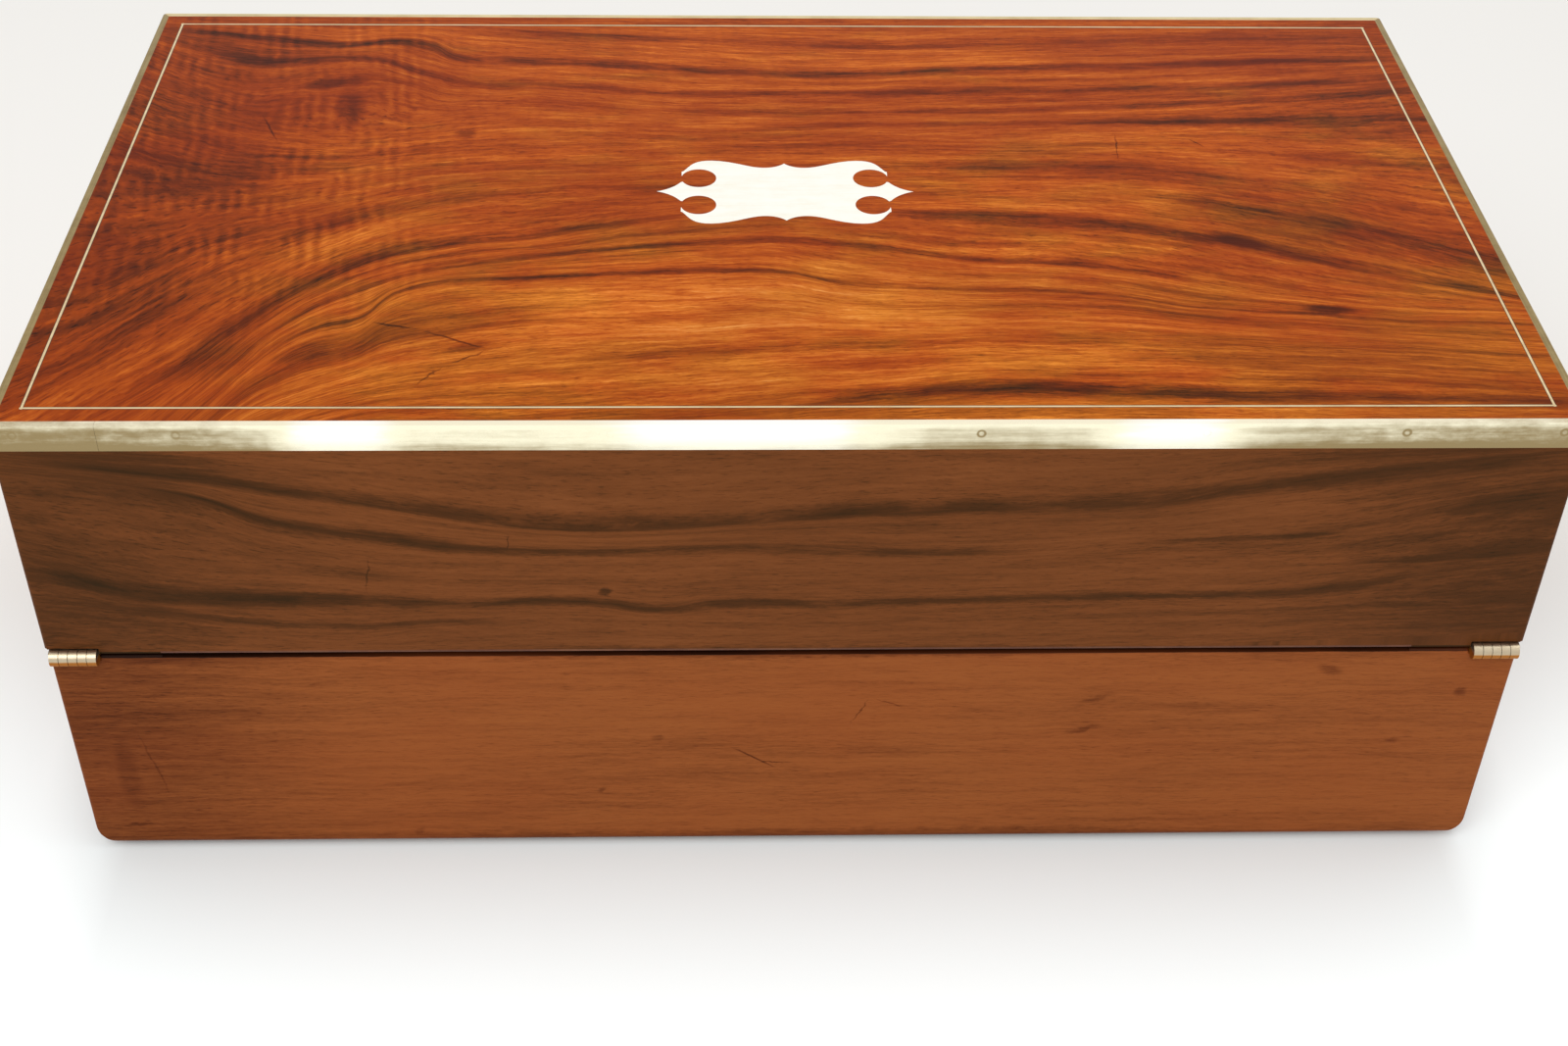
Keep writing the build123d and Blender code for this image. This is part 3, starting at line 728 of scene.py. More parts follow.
    def material(self) -> bpy.types.Material:
        """The material: its colour by its tone, with golden patches and a stain, and fibres in relief.

        Returns:
            The material.
        """
        graph = MaterialGraph(self.name)
        tone = self.tone(graph)
        along, across, depth = self.axes(graph)
        clouds = graph.noise((along, across, depth), (70, 34, 34), 3.0)
        clouds = graph.ease(clouds, -0.18, 0.22, 0.0, self.stain_share)
        colour = graph.ramp(tone, self.tones)
        if self.golden_tones:
            patches = graph.noise((along, across, depth), (38, 15, 15), 4.0, 0.6)
            patches = graph.ease(patches - across * self.golden_lean, -0.08, 0.22)
            patches = patches * graph.ease(along, *self.golden_fade, 0.15, 1.0)
            colour = graph.blend(patches, colour, graph.ramp(tone, self.golden_tones))
        colour = graph.blend(clouds, colour, self.stain)
        wear = graph.noise((along, across, depth), (18, 18, 18), 4.0)
        fibres = graph.noise((along, across, depth), (9, 0.35, 0.35), 2.0)
        graph.relief(fibres + wear * 2.0, 0.04)
        return graph.finish(
            Base_Color=colour,
            Roughness=wear * 0.16 + self.rough,
            IOR=self.bend,
            Specular_IOR_Level=self.gloss,
            Coat_Weight=self.coat,
            Coat_Roughness=0.12,
        )


@dataclass(frozen=True)
class BrassFinish:
    """Brass with fine scratches along it and old tarnish.

    Attributes:
        name: The material's name.
        bright: Colour where it is rubbed bright.
        dull: Colour of the tarnish.
        rough: Roughness where it is bright.
        tarnish: Share of tarnish over the piece.
        scratch_run: Length of the scratches along X, Y and Z.
        painted_highlight: Places along X, and how strong the painted lamp highlight is there, from 0 to 1.
            None is even.
        mottled: Distances from the middle, along X, over which a shining strip grows mottled.
        flash: Colour of a lamp's reflection where the strip shines most.
        flash_rise: Heights where that reflection is faint and where it is whole.
        low_shade: Heights where the painted shade low on the piece is whole and where it ends, and its
            depth.
        rubbed: Heights where a painted highlight along an upper edge starts and is whole, and its strength.
        pins: Distances from the middle, along X, of pins filed flush with the face.
        pin_height: Height of those pins.
        ring_radius: Radius of the ring of dirt round a pin.
        ring_fade: Places along X where those rings are faint and where they are whole.
        core: Half lengths of an inlaid line's middle along X and Y, and half of its bright width.
        gum: Colour of the dirt on both sides of an inlaid line.
    """

    name: str
    bright: Rgb = (238, 220, 172)
    dull: Rgb = (158, 134, 84)
    rough: float = 0.26
    tarnish: float = 0.35
    scratch_run: Triple = (14.0, 0.5, 0.5)
    painted_highlight: tuple[Pair, ...] = ()
    mottled: Pair = (105.0, 165.0)
    flash: Rgb = (255, 253, 247)
    flash_rise: Pair = (149.0, 153.0)
    low_shade: Triple | None = None
    rubbed: Triple | None = None
    pins: tuple[float, ...] = ()
    pin_height: float = 153.0
    ring_radius: float = 0.95
    ring_fade: Pair = (-20.0, 30.0)
    core: Triple | None = None
    gum: Rgb = (70, 30, 12)

    def rings(self, graph: Graph, x: Field, z: Field) -> Field:
        """Dark ring of old polish round each pin: a thin hump just outside the pin's head.

        Args:
            graph: The material's nodes.
            x: Place along X.
            z: Height.

        Returns:
            How much the rings dull the brass.
        """
        nearest: Field | None = None
        for place in self.pins:
            gap = (x.size() - place).size()
            nearest = gap if nearest is None else nearest.smaller(gap)
        rise = z - self.pin_height
        reach = graph.maths("SQRT", nearest * nearest + rise * rise)
        ring = graph.hump(reach, self.ring_radius, 0.5, 0.5, 0.5)
        return ring * graph.ease(x, *self.ring_fade, 0.3, 1.0)

    def sides(self, graph: Graph, x: Field, y: Field) -> Field:
        """Share of the dirt along both sides of an inlaid line, which leaves its middle bright.

        Args:
            graph: The material's nodes.
            x: Place along X.
            y: Place along Y.

        Returns:
            The share.
        """
        along, across, half_width = self.core
        off_line = (x.size() - along).size().smaller((y.size() - across).size())
        return graph.ease(off_line, half_width, half_width + 0.14)

    def material(self) -> bpy.types.Material:
        """The material.

        Tarnish lies in clouds, smears and scratches, in the rings round pins and, in spots, near the ends
        of a strip with painted highlights. Painted lamp highlights and a painted highlight along an upper
        edge take its colour away, painted shade low on the piece adds it, and a painted lamp reflection
        lies where the highlights peak. Clouds and scratches are its relief.

        Returns:
            The material.
        """
        graph = MaterialGraph(self.name)
        x, y, z = graph.place()
        run_x, run_y, run_z = self.scratch_run
        scratches = graph.noise((x, y, z), self.scratch_run, 3.0, 0.7)
        smears = graph.noise((x, y, z), (2 * run_x, 6 * run_y, 6 * run_z), 4.0, 0.6)
        clouds = graph.noise((x, y, z), (9, 6, 6), 5.0, 0.7)
        tarnish_and_painted_light = clouds * 0.55 + smears * 0.55 + scratches * 0.4 + self.tarnish
        glare: Field | None = None
        # Painted lamp highlights along X take the tarnish colour away where they are strong, and a painted
        # lamp reflection lies where they peak.
        if self.painted_highlight:
            painted_highlight = graph.curve(face_share(x), tuple((face_share(at), share) for at, share in self.painted_highlight))
            mottle = graph.noise((x, y, z), (5, 3, 2.4), 4.0, 0.65)
            tarnish_and_painted_light = tarnish_and_painted_light + (0.5 - painted_highlight) * 1.2
            tarnish_and_painted_light = tarnish_and_painted_light + mottle * graph.ease(x.size(), *self.mottled, 0.1, 0.7)
            glare = graph.ease(painted_highlight + smears * 0.3, 0.7, 0.96) * graph.ease(z, *self.flash_rise, 0.3, 1.0)
        # Painted shade, darker towards the bottom of the piece.
        if self.low_shade:
            low, high, depth = self.low_shade
            tarnish_and_painted_light = tarnish_and_painted_light + graph.ease(z, high, low, 0.0, depth)
        # Painted highlight along the upper edge.
        if self.rubbed:
            start, whole, strength = self.rubbed
            tarnish_and_painted_light = tarnish_and_painted_light - graph.ease(z, start, whole, 0.0, strength)
        if self.pins:
            tarnish_and_painted_light = tarnish_and_painted_light + self.rings(graph, x, z)
        tarnish_and_painted_light = graph.ease(tarnish_and_painted_light, 0.0, 1.0)
        colour = graph.blend(tarnish_and_painted_light, self.bright, self.dull)
        if glare is not None:
            colour = graph.blend(glare, colour, self.flash)
        if self.core:
            colour = graph.blend(self.sides(graph, x, y), colour, self.gum)
        graph.relief(scratches + clouds, 0.012)
        return graph.finish(
            Base_Color=colour,
            Metallic=1.0,
            Roughness=tarnish_and_painted_light * 0.22 + scratches * 0.12 + self.rough,
        )


@dataclass(frozen=True)
class SteelFinish:
    """Filed iron of the lock's works, browned in patches.

    Attributes:
        name: The material's name.
        clean: Colour of the clean metal.
        brown: Colour of the old rust.
    """

    name: str
    clean: Rgb = (150, 147, 142)
    brown: Rgb = (84, 58, 42)

    def material(self) -> bpy.types.Material:
        """The material: rust in clouds, which is rougher and no metal.

        Returns:
            The material.
        """
        graph = MaterialGraph(self.name)
        point = graph.place()
        rust = graph.ease(graph.noise(point, (4, 4, 4), 5.0, 0.65), 0.0, 0.22)
        file_marks = graph.noise(point, (6, 0.3, 0.3), 2.0)
        graph.relief(file_marks + rust, 0.02)
        return graph.finish(
            Base_Color=graph.blend(rust, self.clean, self.brown),
            Metallic=1.0 - rust * 0.8,
            Roughness=rust * 0.35 + 0.34,
        )


@dataclass(frozen=True)
class LeatherFinish:
    """Thin writing leather with a tooled gilt border.

    Attributes:
        name: The material's name.
        hide: Colour of the leather.
        worn: Colour where it is rubbed.
        gilt: Colour of the gilding.
        half_size: Half of the sheet's length and width.
        border: Distances of the gilt lines from the edge, and half of each line's width.
        motif_pitch: Distance from one lozenge to the next between the lines, or 0 for none.
        lozenge: Distance of the lozenges' middles from the edge, and half of a lozenge's width.
        zigzag: Distance of the zigzag beside them from the edge, where it is nearest.
    """

    name: str
    hide: Rgb = (84, 44, 26)
    worn: Rgb = (124, 78, 50)
    gilt: Rgb = (205, 164, 84)
    half_size: Pair = (172.0, 80.0)
    border: tuple[Pair, ...] = ((5.0, 0.25), (12.0, 0.5), (13.8, 0.2))
    motif_pitch: float = 6.0
    lozenge: Pair = (8.5, 1.5)
    zigzag: float = 6.0

    def gilding(self, graph: Graph, along: Field, across: Field) -> Field:
        """Share of gold at the point: lines at fixed distances from the edge, and the motif between.

        Args:
            graph: The material's nodes.
            along: Place along the sheet from its middle.
            across: Place across the sheet from its middle.

        Returns:
            The share.
        """
        end = self.half_size[0] - along.size()
        side = self.half_size[1] - across.size()
        edge = end.smaller(side)
        soft = 0.15
        gold: Field | None = None
        for distance, half_width in self.border:
            line = graph.hump(edge, distance, half_width + soft, soft, 1.0)
            gold = line if gold is None else gold.larger(line)
        if self.motif_pitch:
            run = graph.maths("LESS_THAN", side, end) * along
            run = run + graph.maths("LESS_THAN", end, side) * across
            beat = graph.maths("PINGPONG", run, self.motif_pitch / 2)
            middle, half_width = self.lozenge
            reach = beat + (edge - middle).size()
            gold = gold.larger(graph.ease(reach, half_width + 0.4, half_width))
            gold = gold.larger(graph.hump(edge - beat * 0.5, self.zigzag, 0.35, soft, 1.0))
        return gold

    def material(self) -> bpy.types.Material:
        """The material: fine pebbled grain, rubbed patches and the gilding.

        Returns:
            The material.
        """
        graph = MaterialGraph(self.name)
        along, across = graph.sheet_place()
        pebbles = graph.cells(graph.vector(along / 0.9, across / 0.9))
        rubbed = graph.noise((along, across), (38, 30), 5.0, 0.6)
        mottle = graph.noise((along, across), (5, 5), 4.0, 0.6)
        wear = graph.ease(rubbed + mottle * 0.4, -0.1, 0.3)
        gold = self.gilding(graph, along, across) * graph.ease(mottle, -0.3, -0.05)
        skin = graph.blend(wear * 0.7 + pebbles * 0.2, self.hide, self.worn)
        graph.relief(0.6 - pebbles * 0.6 + rubbed * 0.4 - gold * 0.6, 0.12)
        return graph.finish(
            Base_Color=graph.blend(gold, skin, self.gilt),
            Metallic=gold,
            Roughness=0.5 - gold * 0.18 + mottle * 0.16,
            Specular_IOR_Level=0.3,
        )


@dataclass(frozen=True)
class BaizeFinish:
    """Green wool baize.

    Attributes:
        name: The material's name.
        nap: Colour of the nap.
        thin: Colour where it is worn thin.
    """

    name: str
    nap: Rgb = (36, 74, 48)
    thin: Rgb = (74, 96, 62)

    def material(self) -> bpy.types.Material:
        """The material: short matted fibres and thin patches.

        Returns:
            The material.
        """
        graph = MaterialGraph(self.name)
        point = graph.place()
        fibres = graph.noise(point, (0.5, 0.5, 0.5), 4.0, 0.7)
        patches = graph.noise(point, (30, 30, 30), 4.0)
        thin = graph.ease(patches + fibres * 0.4, -0.1, 0.35)
        graph.relief(fibres, 0.25)
        return graph.finish(
            Base_Color=graph.blend(thin, self.nap, self.thin),
            Roughness=0.95,
            Sheen_Weight=0.4,
            Specular_IOR_Level=0.1,
        )


@dataclass(frozen=True)
class PaperFinish:
    """Old laid paper pasted inside the box.

    Attributes:
        name: The material's name.
        sheet: Colour of the paper.
        foxing: Colour of its brown spots.
        laid_pitch: Distance from one laid line to the next.
    """

    name: str
    sheet: Rgb = (196, 178, 142)
    foxing: Rgb = (150, 112, 70)
    laid_pitch: float = 1.2

    def material(self) -> bpy.types.Material:
        """The material: laid lines, soft browning and small spots.

        Returns:
            The material.
        """
        graph = MaterialGraph(self.name)
        x, y, z = graph.place()
        laid = (y * (2 * math.pi / self.laid_pitch)).sine()
        browning = graph.noise((x, y, z), (60, 60, 60), 5.0, 0.6)
        spots = graph.noise((x, y, z), (3.5, 3.5, 3.5), 2.0)
        share = graph.ease(browning, -0.1, 0.4, 0.0, 0.6) + graph.ease(spots, 0.2, 0.34, 0.0, 0.5)
        graph.relief(laid * 0.3 + spots, 0.05)
        return graph.finish(
            Base_Color=graph.blend(share + laid * 0.02, self.sheet, self.foxing),
            Roughness=0.85,
            Specular_IOR_Level=0.2,
        )


@dataclass(frozen=True)
class GlassFinish:
    """Thick moulded glass, with dried ink in its film.

    Attributes:
        name: The material's name.
        tint: Colour of the glass.
        ink: Colour of the dried ink.
    """

    name: str
    tint: Rgb = (226, 238, 232)
    ink: Rgb = (96, 104, 128)

    def material(self) -> bpy.types.Material:
        """The material: clear, a little uneven, with ink in clouds on it.

        Returns:
            The material.
        """
        graph = MaterialGraph(self.name)
        point = graph.place()
        waves = graph.noise(point, (9, 9, 9), 2.0)
        film = graph.noise(point, (4, 4, 7), 4.0)
        stain = graph.ease(film, 0.02, 0.3, 0.0, 0.5)
        graph.relief(waves, 0.25)
        return graph.finish(
            Base_Color=graph.blend(stain, self.tint, self.ink),
            Roughness=graph.ease(film, -0.1, 0.3, 0.02, 0.16),
            Transmission_Weight=1.0,
            IOR=1.5,
        )


# Colours of the top's walnut, from its darkest streaks to its lightest wood, by tone.
TOP_TONES = (
    (0.0, (48, 20, 6)),
    (0.22, (92, 36, 8)),
    (0.45, (143, 58, 12)),
    (0.62, (174, 80, 20)),
    (0.8, (206, 112, 38)),
    (1.0, (234, 156, 82)),
)

# The same for its golden patches.
TOP_GOLDEN_TONES = (
    (0.0, (40, 24, 8)),
    (0.22, (84, 44, 10)),
    (0.45, (138, 70, 14)),
    (0.62, (176, 94, 24)),
    (0.8, (212, 126, 42)),
    (1.0, (238, 168, 88)),
)

# Lines of the top's grain. Their points are X and Y.
TOP_GUIDES = (
    Guide(-116.0, ((-204, -270), (-130, -150), (-60, -124), (0, -117), (204, -118))),
    Guide(-101.0, ((-204, -250), (-130, -125), (-60, -112), (15, -104), (47, -99), (86, -100), (204, -106))),
    Guide(-78.0, ((-204, -230), (-150, -125), (-120, -100), (-90, -90), (-40, -83), (60, -77), (204, -88))),
    Guide(
        -44.0,
        (
            (-204, -200),
            (-150, -108),
            (-137, -82),
            (-127, -71),
            (-116, -66),
            (-108, -54),
            (-98, -49),
            (-77, -46),
            (-21, -43),
            (-3, -43),
            (15, -49),
            (47, -52),
            (86, -54),
            (113, -61),
            (147, -65),
            (204, -70),
        ),
    ),
    Guide(
        -28.0,
        (
            (-204, -170),
            (-160, -112),
            (-147, -88),
            (-135, -68),
            (-120, -53),
            (-98, -42),
            (-74, -36),
            (-21, -28),
            (2, -27),
            (26, -31),
            (50, -37),
            (76, -39),
            (100, -44),
            (130, -53),
            (160, -60),
            (204, -64),
        ),
    ),
    Guide(
        -13.0,
        (
            (-204, -140),
            (-175, -108),
            (-160, -90),
            (-150, -75),
            (-140, -60),
            (-129, -47),
            (-116, -37),
            (-95, -29),
            (-74, -25),
            (-35, -15),
            (0, -11),
            (26, -12),
            (60, -14),
            (94, -18),
            (121, -26),
            (165, -43),
            (204, -58),
        ),
    ),
    Guide(
        2.0,
        (
            (-204, -88),
            (-187, -72),
            (-174, -54),
            (-161, -39),
            (-145, -28),
            (-127, -18),
            (-103, -6),
            (-77, -1),
            (-40, 2),
            (40, 1),
            (113, -1),
            (139, -8),
            (160, -16),
            (180, -27),
            (204, -38),
        ),
    ),
    Guide(20.0, ((-204, 25), (-170, 10), (-140, 8), (-110, 14), (-60, 18), (60, 20), (120, 18), (204, 4))),
    Guide(39.0, ((-204, 64), (-160, 40), (-130, 34), (-90, 40), (-6, 38), (34, 40), (139, 43), (204, 46))),
    Guide(49.0, ((-204, 84), (-170, 62), (-145, 54), (-110, 58), (-35, 50), (7, 48), (100, 51), (204, 65))),
    Guide(
        60.0,
        (
            (-204, 97),
            (-166, 81),
            (-129, 81),
            (-116, 73),
            (-98, 69),
            (-45, 61),
            (34, 61),
            (147, 66),
            (204, 73),
        ),
    ),
    Guide(
        74.0,
        (
            (-204, 104),
            (-190, 102),
            (-153, 94),
            (-140, 92),
            (-124, 96),
            (-112, 92),
            (-104, 84),
            (-85, 81),
            (-56, 80),
            (-32, 76),
            (7, 73),
            (86, 78),
            (204, 85),
        ),
    ),
    Guide(
        94.0,
        (
            (-204, 112),
            (-150, 106),
            (-110, 106),
            (-79, 102),
            (-6, 94),
            (34, 92),
            (73, 95),
            (204, 100),
        ),
    ),
    Guide(114.0, ((-204, 128), (-150, 116), (0, 114.5), (204, 116))),
)

# Dark stripes of the top. They lie on its guides' levels or between them.
TOP_STREAKS = (
    Streak(94.0, 2.6, 0.22, -95, 210),
    Streak(74.0, 3.4, 0.42, -200, 210),
    Streak(67.0, 1.6, 0.16, -70, 210),
    Streak(60.0, 2.8, 0.36, -195, 190),
    Streak(54.5, 1.4, 0.14, -40, 150),
    Streak(49.0, 2.4, 0.30, -45, 215),
    Streak(39.0, 2.6, 0.28, -20, 215),
    Streak(26.0, 5.0, 0.14, -40, 70),
    Streak(14.0, 6.0, 0.22, 40, 140),
    Streak(2.0, 3.0, 0.22, -158, 20),
    Streak(-1.0, 8.0, 0.32, 105, 225),
    Streak(-13.0, 3.2, 0.32, -170, -25),
    Streak(-13.0, 2.6, 0.32, 15, 215),
    Streak(-20.0, 2.6, 0.20, -160, 10),
    Streak(-28.0, 2.0, 0.42, -60, 120),
    Streak(-28.0, 2.6, 0.30, -150, -40),
    Streak(-36.0, 1.6, 0.20, 30, 180),
    Streak(-44.0, 1.7, 0.46, -145, 35),
    Streak(-44.0, 2.0, 0.32, 10, 215),
    Streak(-54.0, 2.4, 0.16, 40, 210),
    Streak(-60.0, 7.0, 0.16, -210, -60),
    Streak(-78.0, 2.6, 0.16, -60, 150),
    Streak(-101.0, 4.0, 0.42, -5, 220),
    Streak(-94.0, 1.8, 0.18, 30, 210),
)

# Knots, spots and scratches of the top, at X and Y, and its wide darker and lighter parts.
TOP_MARKS = (
    Mark((129, -27), (11, 4.0), -24.0, 0.34),
    Mark((147, -62), (10, 3.0), -4.0, 0.42),
    Mark((-96, 34), (4.5, 5.0), 0.0, 0.22),
    Mark((-140, 66), (15, 5.0), 12.0, 0.30),
    Mark((-133, 50), (6.0, 15.0), 8.0, 0.30),
    Mark((-172, 84), (26, 6.0), -32.0, 0.08),
    Mark((-86, -80), (9.0, 2.6), 18.0, 0.24),
    Mark((-176, -62), (14, 26.0), -14.0, 0.08),
    Mark((-150, -86), (16, 8.0), 50.0, 0.20),
    Mark((-128, -82), (12, 5.0), 30.0, 0.22),
    Mark.between((-113, -68), (-99, -72), 0.6, 0.34),
    Mark.between((-99, -72), (-80, -81), 0.6, 0.38),
    Mark.between((-80, -81), (-91, -88), 0.55, 0.34),
    Mark.between((-91, -88), (-98, -98), 0.5, 0.26),
    Mark.between((-160, 46), (-152, 28), 0.5, 0.35),
    Mark.between((102, 37), (101, 17), 0.4, 0.30),
    Mark.between((124, 32), (129, 26), 0.4, 0.30),
    Mark((-30, -53), (4.0, 2.6), 20.0, 0.14),
    Mark((-120, -20), (30, 9.0), 32.0, -0.10),
    Mark((5, -66), (120, 46.0), 4.0, -0.16),
    Mark((40, 60), (150, 60.0), 0.0, -0.05),
    Mark((-215, 0), (105, 190.0), 0.0, 0.22),
    Mark((225, 60), (90, 120.0), 0.0, 0.10),
)

# Lines of the grain on the lid's hinge side. Their points are X and Z.
LID_FACE_GUIDES = (
    Guide(76.0, ((-204, 76), (0, 77), (204, 84))),
    Guide(89.0, ((-204, 97), (-182, 95), (-163, 93), (-144, 90), (-122, 88), (-93, 90), (0, 89), (204, 96))),
    Guide(
        96.0,
        (
            (-204, 109),
            (-190, 105),
            (-182, 102),
            (-168, 99),
            (-132, 98),
            (-95, 96),
            (-58, 97),
            (-34, 94),
            (-22, 96),
            (25, 96),
            (79, 98),
            (141, 99.5),
            (166, 104),
            (204, 109),
        ),
    ),
    Guide(106.0, ((-204, 122), (-165, 112), (-128, 108), (-104, 106), (60, 106), (158, 110), (204, 114))),
    Guide(
        116.0,
        (
            (-204, 141),
            (-165, 135),
            (-151, 131),
            (-139, 125),
            (-124, 121),
            (-90, 116),
            (-44, 115),
            (-21, 116),
            (45, 114),
            (93, 117),
            (150, 121),
            (179, 128),
            (204, 131),
        ),
    ),
    Guide(
        134.0,
        (
            (-204, 146),
            (-155, 139),
            (-132, 135),
            (-102, 129),
            (-77, 124),
            (-57, 122),
            (-3, 125),
            (23, 128),
            (96, 131),
            (114, 135),
            (140, 139),
            (204, 147),
        ),
    ),
    Guide(150.0, ((-204, 152), (0, 150), (204, 152))),
)

# Dark stripes on the same side.
LID_FACE_STREAKS = (
    Streak(134.0, 3.0, 0.34, -195, 30),
    Streak(134.0, 3.6, 0.32, 0, 200),
    Streak(128.0, 1.8, 0.12, -120, 120),
    Streak(118.0, 3.6, 0.38, -180, -80),
    Streak(116.0, 2.6, 0.30, -110, 62),
    Streak(116.0, 1.3, 0.32, 86, 156),
    Streak(118.0, 4.5, 0.30, 165, 215),
    Streak(111.0, 1.4, 0.16, 110, 180),
    Streak(106.0, 1.8, 0.16, -135, -95),
    Streak(106.0, 2.6, 0.26, 145, 215),
    Streak(96.5, 3.0, 0.42, -210, -80),
    Streak(96.0, 2.3, 0.36, -100, 170),
    Streak(89.0, 1.5, 0.26, -190, -70),
    Streak(89.0, 1.2, 0.08, -60, 180),
)

# Spots and scratches on the same side, at X and Z, and its darker edges. The long band at Z 78 is dirt and
# painted shade along the seam.
LID_FACE_MARKS = (
    Mark.between((-112, 114.6), (-114, 99), 0.35, 0.20),
    Mark.between((-75, 121), (-75.5, 114.4), 0.35, 0.22),
    Mark((-50.4, 100.4), (2.6, 1.4), 30.0, 0.30),
    Mark((-168, 144), (42, 8.0), -8.0, 0.16),
    Mark((150, 146), (60, 4.0), 4.0, 0.12),
    Mark((0, 78.0), (186, 3.6), 0.0, 0.22),
    Mark((-222, 112), (112, 90.0), 0.0, 0.19),
    Mark((222, 112), (112, 90.0), 0.0, 0.22),
)

# Spots and scratches on the base's hinge side, at X and Z, and its darker edges. The long band at Z 3 is
# painted shade along the bottom, and the bands at Z 76 and 78 are dirt and painted shade along the seam.
BASE_FACE_MARKS = (
    Mark.between((-17.6, 41.5), (-2.4, 31.4), 0.45, 0.34),
    Mark.between((-12.0, 35.0), (3.0, 34.0), 0.3, 0.25),
    Mark.between((16.6, 49.1), (23.1, 59.8), 0.35, 0.35),
    Mark.between((23.1, 59.8), (33.0, 55.9), 0.35, 0.30),
    Mark.between((78.5, 45.4), (89.4, 48.4), 1.3, 0.22),
    Mark((-54.4, 23.7), (2.2, 1.3), 20.0, 0.18),
    Mark((-37.2, 44.4), (2.8, 2.2), 0.0, 0.16),
    Mark((151.4, 69.4), (5.6, 2.6), -24.0, 0.22),
    Mark((86.8, 59.3), (7.0, 1.4), 22.0, 0.14),
    Mark((189.8, 60.8), (2.4, 2.2), 0.0, 0.24),
    Mark((174.0, 41.8), (2.8, 1.6), 0.0, 0.18),
    Mark((0.0, 3.0), (215.0, 5.0), 0.0, 0.25),
    Mark((-222, 40), (112, 90.0), 0.0, 0.24),
    Mark((-189, 31), (4.5, 19.0), 0.0, 0.10),
    Mark.between((-193.5, 10.0), (-185.5, 10.5), 1.1, 0.16),
    Mark((-108.0, 6.5), (2.6, 1.4), 30.0, 0.16),
    Mark.between((-184.0, 50.0), (-178.0, 20.0), 0.5, 0.12),
    Mark((0, 78.0), (186, 3.6), 0.0, 0.25),
    Mark((150, 76), (40, 5.0), 0.0, 0.10),
    Mark((-160, 76), (40, 5.0), 0.0, 0.16),
)


class Woods:
    """The box's woods, each made once."""

    def __init__(self) -> None:
        """Makes every wood that the box needs."""
        wall_tones = (
            (0.0, (50, 33, 14)),
            (0.3, (80, 46, 21)),
            (0.55, (119, 67, 33)),
            (0.8, (137, 80, 42)),
            (1.0, (156, 96, 54)),
        )
        base_tones = (
            (0.0, (34, 16, 8)),
            (0.22, (98, 48, 21)),
            (0.55, (148, 82, 40)),
            (0.8, (160, 92, 45)),
            (1.0, (178, 110, 58)),
        )
        inside_tones = (
            (0.0, (58, 22, 12)),
            (0.35, (98, 44, 24)),
            (0.6, (126, 62, 34)),
            (1.0, (158, 90, 54)),
        )
        pine_tones = ((0.0, (120, 84, 48)), (0.5, (178, 138, 88)), (1.0, (204, 168, 118)))
        self.top = WoodFinish(
            "figured_walnut_top",
            TOP_TONES,
            Axis.X,
            Axis.Y,
            rough=0.34,
            bend=1.15,
            gloss=0.25,
            coat=0.01,
            bands=(0.28, 0.30, 0.34),
            guides=TOP_GUIDES,
            streaks=TOP_STREAKS,
            marks=TOP_MARKS,
            swells=(Mark((-137, 60), (34, 30), 0.0, 9.0), Mark((-96, 62), (20, 14), 0.0, -3.0)),
            ripple=Ripple(pitch=4.5, lean=0.12, depth=0.095, ends=(-132.0, -84.0), sides=(-78.0, -34.0)),
            stain=(122, 34, 6),
            stain_share=0.36,
            pore_depth=0.22,
            golden_tones=TOP_GOLDEN_TONES,
        ).material()
        self.lid_face = WoodFinish(
            "walnut_lid_hinge_side",
            wall_tones,
            Axis.X,
            Axis.Z,
            guides=LID_FACE_GUIDES,
            streaks=LID_FACE_STREAKS,
            marks=LID_FACE_MARKS,
            wander=1.8,
            bands=(0.12, 0.18, 0.20),
            stain=(88, 50, 24),
            # Dirt and painted shade along the seam.
            seam=(79.5, 78.9, 1.1),
        ).material()
        wall = WoodFinish("walnut_lid_lock_side", wall_tones, Axis.X, Axis.Z, bands=(0.34, 0.22, 0.14))
        self.lid_wall = wall.material()
        self.lid_end = replace(wall, name="walnut_lid_ends", along=Axis.Y).material()
        self.base_face = WoodFinish(
            "walnut_base_hinge_side",
            base_tones,
            Axis.X,
            Axis.Z,
            marks=BASE_FACE_MARKS,
            bands=(0.16, 0.16, 0.22),
            stain=(148, 72, 33),
            # Dirt and painted shade along the seam.
            seam=(76.4, 76.95, 1.2),
        ).material()
        wall = WoodFinish("walnut_base_lock_side", base_tones, Axis.X, Axis.Z, bands=(0.2, 0.14, 0.14))
        self.base_wall = wall.material()
        self.base_end = replace(wall, name="walnut_base_ends", along=Axis.Y).material()
        inside = WoodFinish(
            "mahogany_flat", inside_tones, Axis.X, Axis.Y, rough=0.5, bands=(0.2, 0.14, 0.12)
        )
        self.inside_flat = inside.material()
        self.inside_upright = replace(inside, name="mahogany_upright", across=Axis.Z).material()
        self.inside_short = replace(inside, name="mahogany_short", along=Axis.Y, across=Axis.Z).material()
        self.pine = WoodFinish(
            "pine_board", pine_tones, Axis.X, Axis.Y, rough=0.65, coat=0.0, bands=(0.2, 0.2, 0.1)
        ).material()


